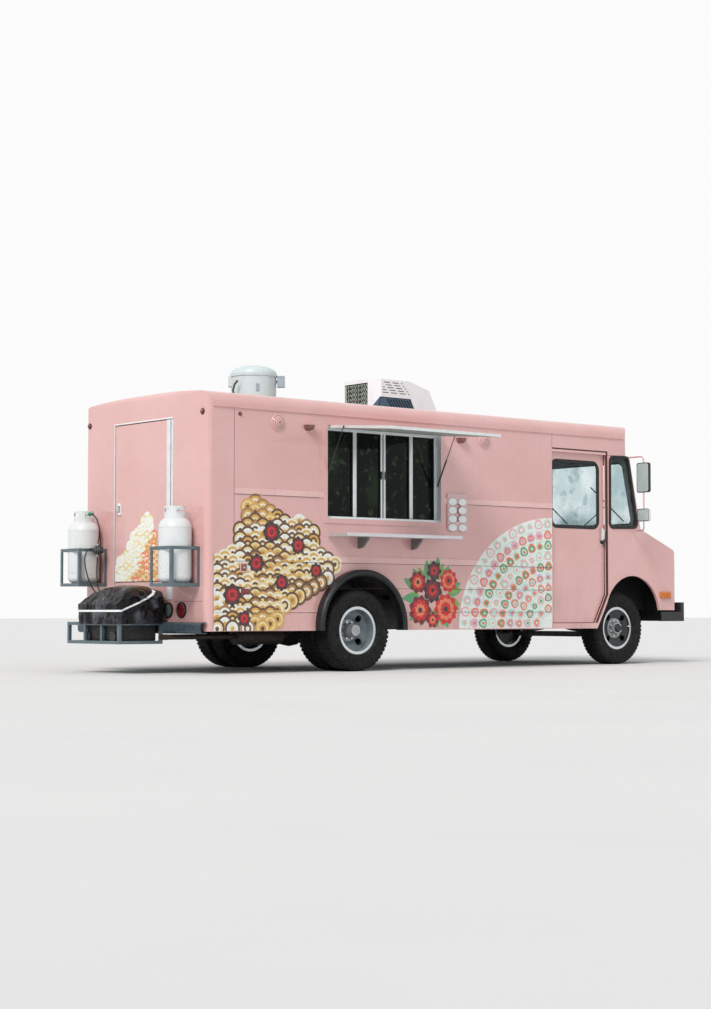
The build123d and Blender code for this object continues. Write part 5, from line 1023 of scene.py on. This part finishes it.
# Upright seams: place along the truck, lower and upper end
SEAMS = ((-3.420, SKIRT_Z + 0.004, 2.499), (0.815, 2.352, 2.499), (0.815, SKIRT_Z + 0.004, 0.459))
for side, hand in HANDS:
    wall = side * HALF_W
    made = Shape().block((-3.340, wall, 0.7435), (-3.240, wall + side * 0.007, 0.7985), 0.003)
    made.lathe([(0.020, 0), (0.020, side * 0.004)], (-3.353, wall, 2.445), "Y", 20, 1)
    made.dome((-3.353, wall + side * 0.004, 2.445), 0.017, side * 0.016, "Y", 5, 20)
    made.piece(f"side_reflectors_{hand}", "red_lens", looks="red_lens bumper_black")
    made = Shape()
    for x, z0, z1 in SEAMS:
        made.block((x - SEAM_W / 2, wall - side * 0.001, z0), (x + SEAM_W / 2, wall + side * SEAM_OUT, z1))
    made.block((2.030, wall - side * 0.04, 2.3085), (1.664, wall + side * SEAM_OUT, 2.3115))
    for number, (low, height, proud) in enumerate(MOULDINGS):
        for x0, x1 in FULL_LINE if number else TOP_LINES:
            made.block((x0, wall, low - 0.0035), (x1, wall + side * (proud - 0.003), low))
    # One piece holds the seams and the painted shadow lines under the mouldings, in one dark finish
    made.piece(f"body_seams_and_shadow_lines_{hand}", "body_paint", looks="seam_dark")

HATCH = rectangle(-3.344, -3.266, 0.958, 1.036)
HATCH_SECTION = ((0.006, 0), (0.006, 0.006), (0.0, 0.008), (-0.006, 0.006), (-0.006, 0))
made = Shape().moulding(HATCH, 0.010, HATCH_SECTION, on_side(-1))
made.block((-3.337, -HALF_W - 0.003, 0.965), (-3.273, -HALF_W, 1.029), 0.001, index=1)
made.lathe([(0.008, -0.003), (0.008, -0.008), (0.004, -0.009)], (-3.305, -HALF_W, 0.997), "Y", 12, 2)
made.piece("inlet_cover", "body_paint", looks="body_paint lamp_bronze strut_chrome")

# A filler cap on the left, above the fuel tank
CAP = [(0.062, 0), (0.062, 0.006), (0.050, 0.008), (0.046, 0.004), (0.040, 0.004), (0.036, 0.022),
       (0.030, 0.026)]
Shape().lathe(CAP, (0.35, HALF_W, 0.70), "Y", 36).piece("filler_cap", "bumper_black")

# Ribbed cells of the side markers
made = Shape()
for side in (-1, 1):
    face = side * (HALF_W + 0.022)
    for k in range(3):
        x0 = 2.541 + 0.0525 * k
        made.block((x0, side * HALF_W, 0.737), (x0 + 0.0495, face + side * 0.006, 0.802), 0.006, 3)
        for rib in range(4):
            x = x0 + 0.0095 + 0.0102 * rib
            made.block((x - 0.0018, face, 0.743), (x + 0.0018, face + side * 0.0085, 0.796), 0.0012, 1)
made.piece("marker_cells", "amber_lens")

# Headlamps: a bright rim, a domed lens, and an amber lamp below
NOSE_X = 2.870
HEADLAMP_Y, HEADLAMP_Z = 0.74, 0.93
HEADLAMP_RIM = [(0.088, 0.004), (0.088, 0.012), (0.095, 0.016), (0.108, 0.010), (0.112, 0.0)]
TURN_LAMP_Z = HEADLAMP_Z - 0.215
made = Shape()
for side in (-1, 1):
    y = side * HEADLAMP_Y
    made.lathe(HEADLAMP_RIM, (NOSE_X, y, HEADLAMP_Z), "X", closed=True)
    made.dome((NOSE_X + 0.006, y, HEADLAMP_Z), 0.087, 0.018, "X", 6, 40, 1)
    corners = [(NOSE_X, side * 0.66, TURN_LAMP_Z), (NOSE_X + 0.016, side * 0.82, TURN_LAMP_Z + 0.055)]
    made.block(*corners, 0.006, 3, 2)
made.piece("headlamp_rims", "strut_chrome", looks="strut_chrome lamp_lens amber_lens")


def make_top_lamps(name, slot, x, ys, z, out, base_r, lip_r, lens_r, lens_h):
    """A row of round lamps along the roof's edge, each a domed lens on a dark base."""
    made = Shape()
    base = [(base_r, out * -0.004), (base_r, out * 0.006), (lip_r, out * 0.008)]
    for y in ys:
        made.lathe(base, (x, y, z), "X", 24, 1)
        made.dome((x + out * 0.006, y, z), lens_r, out * lens_h, "X", 5, 24)
    made.piece(name, slot, looks=f"{slot} bumper_black")


make_top_lamps("header_lamps", "amber_lens", 2.040, (-0.86, -0.40, 0.0, 0.40, 0.86), 2.43, 1,
               0.034, 0.028, 0.026, 0.022)
make_top_lamps("clearance_lamps", "red_lens", REAR_X, (-0.98, 0.98), 2.45, -1, 0.030, 0.025, 0.023, 0.020)

# Mirror glasses, the lower ones domed: half width, lower and upper edge, corner radius, how far they bulge
MIRROR_GLASS_X, MIRROR_Y = 2.007, 1.290
MIRRORS = ((0.090, 1.900, 2.230, 0.024, 0.0), (0.085, 1.580, 1.720, 0.018, 0.010))
GLASS_THICK = 0.002
# Rows of the glass from its edge inwards: size against the whole, share of the bulge
GLASS_ROWS = ((1.0, 0), (0.7, 0.5), (0.35, 0.85), (0.05, 1))
made = Shape()
for side in (-1, 1):
    y = side * MIRROR_Y
    for half_w, low, high, radius, bulge in MIRRORS:
        corners = rounded(grown(rectangle(y - half_w, y + half_w, low, high), -0.009), radius)
        z = (low + high) / 2
        sections = [(1.0, 0.0)] + [(share, GLASS_THICK + bulge * rise) for share, rise in GLASS_ROWS]
        made.loops([[(MIRROR_GLASS_X - out, y + (u - y) * share, z + (v - z) * share) for u, v in corners]
                    for share, out in sections], False)
made.piece("mirror_glass", "strut_chrome", looks="mirror_face")

# Rear wall: trims beside the door with rivets, its drip strip, the seams under it, and the lamp grommets
made = Shape()
made.block((REAR_X - 0.005, 0.5085, 0.700), (REAR_X, 0.5205, 2.420), 0.0015)
made.block((REAR_X - 0.004, -0.467, 0.700), (REAR_X, -0.410, 0.866), 0.001)
made.block((REAR_X - 0.011, -0.502, 2.4205), (REAR_X, 0.5205, 2.4335), 0.003, 2, 1)
for k in range(24):
    made.dome((REAR_X - 0.004, -0.486, 0.74 + 0.0715 * k), 0.005, -0.003, "X", 2, 8)
made.piece("rear_trims", "window_alloy", looks="window_alloy reflective_white")
made = Shape()
for y0, y1, z0, z1 in ((-0.466, -0.461, 0.686, 0.868), (0.501, 0.506, 0.686, 0.868),
                       (-0.466, 0.506, 0.6845, 0.6895), (-1.0, -0.52, 0.6785, 0.6815)):
    made.block((REAR_X - 0.0008, y0, z0), (REAR_X + 0.001, y1, z1))
made.piece("rear_seams", "body_paint", looks="seam_dark")

TAIL_LAMP_Z = 0.599
GROMMET = [(0.064, 0.002), (0.062, -0.013), (0.066, -0.017), (0.074, -0.014), (0.077, 0.0)]
made = Shape()
for y, lens_index in ((-0.654, 1), (-0.436, 2), (0.436, 2), (0.654, 1)):
    made.lathe(GROMMET, (REAR_X, y, TAIL_LAMP_Z), "X", 40, closed=True)
    made.dome((REAR_X - 0.0098, y, TAIL_LAMP_Z), 0.0625, -0.006, "X", 4, 40, lens_index)
made.piece("lamp_grommets", "black_rubber", looks="black_rubber red_lens clear_lamp")

# The rear door's catch: a slot drawn as a thin near-black plate of painted shade, a key lock and a bowed pull
CATCH_X = REAR_X - 0.012
PULL = ((0, 1.560), (0.022, 1.566), (0.024, 1.590), (0.022, 1.612), (0, 1.618))
made = Shape()
made.block((CATCH_X - 0.0006, 0.407, 1.556), (CATCH_X + 0.001, 0.424, 1.622))
made.lathe([(0.007, 0.001), (0.007, -0.004), (0.004, -0.005)], (CATCH_X, 0.433, 1.546), "X", 16, 1)
made.tube([(CATCH_X - out, 0.430, z) for out, z in PULL], 0.0055, 8, index=1)
made.piece("door_catch", "strut_chrome", "back_door", "slot_dark strut_chrome")

# Gas cylinders: weld seams, handwheels and the left one's fitting
TANK_X = -3.887
TANK_R = 0.1556
TANKS = ((-0.7685, 0.8223), (0.8235, 0.8373))
HANDWHEEL = [(0.01, -0.02), (0.01, -0.004), (0.03, -0.004), (0.033, 0), (0.03, 0.006), (0.01, 0.006)]
COUPLING = [(0.013, -0.044), (0.013, -0.02), (0.019, -0.018), (0.021, -0.006), (0.019, 0.004), (0.009, 0.006)]
made = Shape()
for y, foot_z in TANKS:
    for z in (foot_z + 0.128, foot_z + 0.545):
        made.tube([(TANK_X + TANK_R * cos(a), y + TANK_R * sin(a), z) for a in circle(64)], 0.0022, 6, True)
    made.lathe(HANDWHEEL, (TANK_X, y, foot_z + 0.737), "Z", 24, 1)
made.piece("tank_seams", "tank_white", looks="tank_white bumper_black")
valve = HOSES["gas_pigtail"][1][0]
made = Shape()
made.lathe(COUPLING, valve, "Y", 12)
made.lathe([(0.010, -0.062), (0.010, -0.044)], valve, "Y", 6, 1)
made.piece("tank_fitting", "regulator_grey", looks="valve_green regulator_grey")

# Regulator: a flange with screws round its two halves, a domed bonnet, and hose ends
REGULATOR = Vector((-3.850, 0.6257, 1.190))
SCREW_CIRCLE_R = 0.0465
FLANGE = [(0.043, -0.03), (0.05, -0.027), (0.05, -0.004), (0.047, -0.001), (0.043, -0.001)]
BONNET = [(0.036, -0.023), (0.034, -0.034), (0.026, -0.044), (0.017, -0.047), (0.017, -0.06), (0.014, -0.063)]
made = Shape().lathe(FLANGE, REGULATOR, "Y", 40, closed=True).lathe(BONNET, REGULATOR, "Y", 32)
for a in circle(6):
    spot = REGULATOR + Vector((cos(a), 0, sin(a))) * SCREW_CIRCLE_R
    made.lathe([(0.004, -0.033), (0.004, -0.028)], spot, "Y", 8, 1)
for way, at in (((0, 0, 1), (0, 0, 0.043)), ((0, 0, -1), (0, 0, -0.043)), ((-1, 0, 0), (-0.043, 0, 0.016))):
    start = REGULATOR + Vector(at)
    made.tube([start - Vector(way) * 0.004, start + Vector(way) * 0.020], 0.0095, 6, index=1)
made.piece("regulator_body", "regulator_grey", looks="regulator_grey strut_chrome")
made = Shape()
for hose in ("gas_hose", "gas_hose_loop"):
    _, y, z = HOSES[hose][1][-1]
    made.lathe([(0.019, 0.001), (0.018, -0.003), (0.011, -0.008), (0.0085, -0.020)], (REAR_X, y, z), "X", 20)
made.piece("hose_glands", "black_rubber")

# Pale wavy fins in the cooler's rear opening
FINS = 13
FIN_WAVE = 0.006
made = Shape()
for k in range(FINS):
    y = (2 * (k + 0.5) / FINS - 1) * (AC_RECESS - 0.012)
    made.tube([(AC_BACK_X + 0.010 + FIN_WAVE * sin(pi * t / 2), y + FIN_WAVE * cos(pi * t / 2 + k),
                2.690 + 0.292 * t / 24) for t in range(25)], 0.0045, 6)
made.piece("condenser_fins", "ac_white", looks="ac_fins")

# Roof fan: an access plate and a switch plate on its side, its lip, screws, and the conduit that feeds it
FAN_FACES_CAMERA = radians(230)
# Plates round it: from and to which turn, lower and upper edge, thickness, steps, look
FAN_PLATES = ((0.32, 0.80, 2.700, 2.962, 0.004, 8, 0), (0.16, 0.28, 2.800, 2.873, 0.010, 8, 1),
              (-pi, pi - 0.001, 2.958, 2.966, 0.0105, 72, 0))
CONDUIT = ((-0.55, 2.90, 0.052), (-0.62, 2.86, 0.075), (-0.66, 2.80, 0.085), (-0.62, 2.74, 0.080),
           (-0.50, 2.700, 0.060), (-0.38, 2.672, 0.045))


def on_fan(turn, z, out=0.0):
    angle = FAN_FACES_CAMERA + turn
    return Vector((FAN_X + (FAN_R + out) * cos(angle), (FAN_R + out) * sin(angle), z))


made = Shape()
for turn0, turn1, z0, z1, thick, steps, index in FAN_PLATES:
    loops = []
    for k in range(steps + 1):
        turn = turn0 + (turn1 - turn0) * k / steps
        loops.append([on_fan(turn, z, out) for z, out in ((z0, 0), (z0, thick), (z1, thick), (z1, 0))])
    made.loops(loops, False, index)
for turn in (-0.9, -0.4, 0.1, 0.6, 1.1, 1.6, -1.4):
    made.tube([on_fan(turn, 2.976, 0.006), on_fan(turn, 2.976, 0.012)], 0.006, 8, index=2)
for turn in (0.36, 0.76):
    for z in (2.72, 2.94):
        made.tube([on_fan(turn, z, 0.002), on_fan(turn, z, 0.007)], 0.005, 8, index=2)
made.piece("fan_panels", "fan_grey", looks="fan_grey fan_blue strut_chrome")
Shape().tube([on_fan(*spot) for spot in CONDUIT], 0.011, 10).piece("fan_conduit", "regulator_grey")

# Generator: its lower case with vents, under a cloth cover with a reflective strip
COVER_LOW, COVER_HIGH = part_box("generator")
CASE_LOW = Vector((COVER_LOW.x + 0.07, COVER_LOW.y + 0.06, 0.297))
CASE_HIGH = Vector((COVER_HIGH.x - 0.06, COVER_HIGH.y - 0.03, 0.560))
made = Shape().block(CASE_LOW, CASE_HIGH, 0.03, 4)
for k in range(5):
    corner = CASE_LOW + Vector((-0.004, 0.08, 0.028 + 0.030 * k))
    made.block(corner, corner + Vector((0.014, 0.26, 0.012)), 0.003, index=1)
for y in (CASE_LOW.y + 0.10, CASE_HIGH.y - 0.10):
    made.lathe([(0.050, -0.02), (0.050, 0.004), (0.036, 0.010)], (CASE_LOW.x, y, 0.348), "X", 28, 1)
made.piece("generator_case", "regulator_grey", looks="slot_dark bumper_black")

# Heights of the cloth over the case: along the truck, and across it
ALONG = ((0.0, 0.640), (0.07, 0.738), (0.16, 0.800), (0.27, 0.842), (0.37, 0.850), (0.48, 0.832),
         (0.541, 0.772))
ACROSS = ((0.0, 0.690), (0.06, 0.790), (0.15, 0.828), (0.26, 0.838), (0.40, 0.850), (0.53, 0.820),
          (0.66, 0.735), (0.733, 0.640))
HEM_Z = 0.470
COVER_CORNER_R = 0.055
COVER_SIDES = 176
COVER_RINGS = 26
SKIRT_RINGS = 12
CLOTH = 0.0025
PLEATS = 13
cover_outline = [Vector(corner) for corner in rounded(
    rectangle(COVER_LOW.x, COVER_HIGH.x, COVER_LOW.y, COVER_HIGH.y), COVER_CORNER_R, 8)]
cover_sides = list(zip(cover_outline, cover_outline[1:] + cover_outline[:1]))
cover_round = sum((b - a).length for a, b in cover_sides)
cover_middle = Vector(((COVER_LOW.x + COVER_HIGH.x) / 2, (COVER_LOW.y + COVER_HIGH.y) / 2 + 0.03))


def between(table, place):
    """A value read from a table of (place, value)."""
    for (a, low), (b, high) in zip(table, table[1:]):
        if place <= b or b == table[-1][0]:
            return low + (high - low) * min(1, max(0, (place - a) / (b - a)))


def soft_between(table, place, reach=0.035):
    """The same, averaged over a short reach so that the bends are round."""
    return sum(between(table, place + reach * k / 3) for k in range(-3, 4)) / 7


def cloth_top(x, y):
    """The lower of the two heights, blended where they meet."""
    along = soft_between(ALONG, x - COVER_LOW.x)
    across = soft_between(ACROSS, y - COVER_LOW.y)
    gap = along - across
    return (along + across - (gap * gap + 0.025 ** 2) ** 0.5) / 2 + 0.004


def round_cover(share):
    """A point of the cover's outline in plan, at a share of the way round."""
    left = (share % 1.0) * cover_round
    for a, b in cover_sides:
        length = (b - a).length
        if left <= length:
            return a + (b - a) * (left / length)
        left -= length
    return cover_outline[0].copy()


def outward(share, rise):
    """The way from the cover's middle to its outline, tilted upwards."""
    flat = (round_cover(share) - cover_middle).normalized()
    return Vector((flat.x, flat.y, rise)).normalized()


def cloth_point(share, depth):
    """The cloth: depth 0 is its middle, 1 the edge of its top, 2 its hem."""
    edge = round_cover(share)
    angle = share * 2 * pi
    spot = cover_middle + (edge - cover_middle) * depth if depth <= 1 else edge
    height = cloth_top(spot.x, spot.y)
    x, y, z = spot.x, spot.y, height + (HEM_Z - height) * max(0, depth - 1)
    weight = min(1, depth * 1.3)
    fold = noise.noise(Vector((x * 5, y * 5, z * 4)))
    crease = 1 - 2 * abs(noise.noise(Vector((x * 11 + 3, y * 11, z * 7))))
    ripple = 3 * noise.noise(Vector((cos(angle) * 2, sin(angle) * 2, 0)))
    pleat = sin(angle * PLEATS + ripple) * max(0, depth - 0.85)
    out = outward(share, 0.5 if depth <= 1 else 0.1)
    return Vector((x, y, z)) + out * (weight * (0.014 * fold + 0.011 * crease) + 0.009 * pleat - 0.012)


depths = [0.03 + 0.97 * (k / COVER_RINGS) for k in range(COVER_RINGS + 1)]
depths += [1 + (k + 1) / SKIRT_RINGS for k in range(SKIRT_RINGS)]
cover = Shape().loops([[cloth_point(k / COVER_SIDES, depth) for k in range(COVER_SIDES)] for depth in depths],
                      False, ends=(0,))
bmesh.ops.recalc_face_normals(cover.bm, faces=cover.bm.faces)
bmesh.ops.solidify(cover.bm, geom=cover.bm.faces[:], thickness=CLOTH)
generator_cover = cover.piece("generator_cover", "cover_vinyl", sharp=60)
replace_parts(generator_cover, "generator")

STRIP_W = 0.018
STRIP_STEPS = 90
STRIP_HEM_Z = 0.590
STRIP_CLIMB = 0.205
CORNER_STEPS = 400


def strip_height(x):
    """The strip runs level along the rear hem, then climbs along the right side."""
    bend_x = COVER_LOW.x + 0.05
    return STRIP_HEM_Z + STRIP_CLIMB * max(0, (x - bend_x) / (COVER_HIGH.x - bend_x))


def depth_at(share, height):
    low, high = 0.5, 2.0
    for _ in range(24):
        middle = (low + high) / 2
        if cloth_point(share, middle).z > height:
            low = middle
        else:
            high = middle
    return low


def at_right_rear(spot):
    return spot.x < COVER_LOW.x + 0.02 and spot.y < COVER_LOW.y + 0.02


shares = [k / CORNER_STEPS for k in range(CORNER_STEPS)]
corner_share = max(share for share in shares if at_right_rear(round_cover(share)))
start_share, end_share = corner_share - 0.285, corner_share + 0.205
loops = []
for k in range(STRIP_STEPS + 1):
    share = start_share + (end_share - start_share) * k / STRIP_STEPS
    height = strip_height(cloth_point(share, 1.0).x)
    low, high = [cloth_point(share, depth_at(share, height + shift)) for shift in (-STRIP_W / 2, STRIP_W / 2)]
    lift = outward(share, 0.45)
    loops.append([low - lift * 0.001, low + lift * 0.0035, high + lift * 0.0035, high - lift * 0.001])
cover_strip = Shape().loops(loops, False).piece("cover_strip", "cover_vinyl", looks="reflective_white")

# Floor, world and light
FLOOR_REACH = 120
floor_mesh = bpy.data.meshes.new("stage_floor")
floor_corners = rectangle(-FLOOR_REACH, FLOOR_REACH, -FLOOR_REACH, FLOOR_REACH)
floor_mesh.from_pydata([(x, y, 0) for x, y in floor_corners], [], [(0, 1, 2, 3)])
stage_floor = add_object("stage_floor", floor_mesh)
made = Finish("stage_floor", (0.78, 0.78, 0.77), 0.9, Specular_IOR_Level=0.1)
made.tint((0.8, 4), (0.74, 0.74, 0.735), 0.5)
floor_mesh.materials.append(finish["stage_floor"])

# What the camera, mirrors and glass see of the world is brighter than what it gives as light
WORLD_LIGHT = 0.60
world = bpy.data.worlds.new("world")
scene.world = world
world.use_nodes = True
tree = world.node_tree
tree.nodes.clear()
seen = add_node(tree, "Background", 0, Color=(0.97, 0.97, 0.97, 1), Strength=1.0)
lighting = add_node(tree, "Background", 0, Color=(0.95, 0.98, 1.0, 1), Strength=WORLD_LIGHT)
direct = 0.0
for ray in ("Camera", "Glossy", "Transmission"):
    is_ray = add_node(tree, "LightPath", f"Is {ray} Ray")
    direct = add_node(tree, "Math", 0, direct, is_ray, operation="MAXIMUM")
mixed = add_node(tree, "MixShader", 0, direct, lighting, seen)
tree.links.new(mixed, tree.nodes.new("ShaderNodeOutputWorld").inputs["Surface"])

# The sun comes from above, behind the camera's left shoulder
SUN_FROM = (-0.98, -0.50, 1.0)
SUN_STRENGTH = 2.15
SUN_SPREAD = radians(24)
sun_data = bpy.data.lights.new("sun", "SUN")
sun_data.energy = SUN_STRENGTH
sun_data.angle = SUN_SPREAD
sun_data.color = (1.0, 0.98, 0.95)
sun = add_object("sun", sun_data)
sun.rotation_euler = Vector(SUN_FROM).to_track_quat("Z", "Y").to_euler()
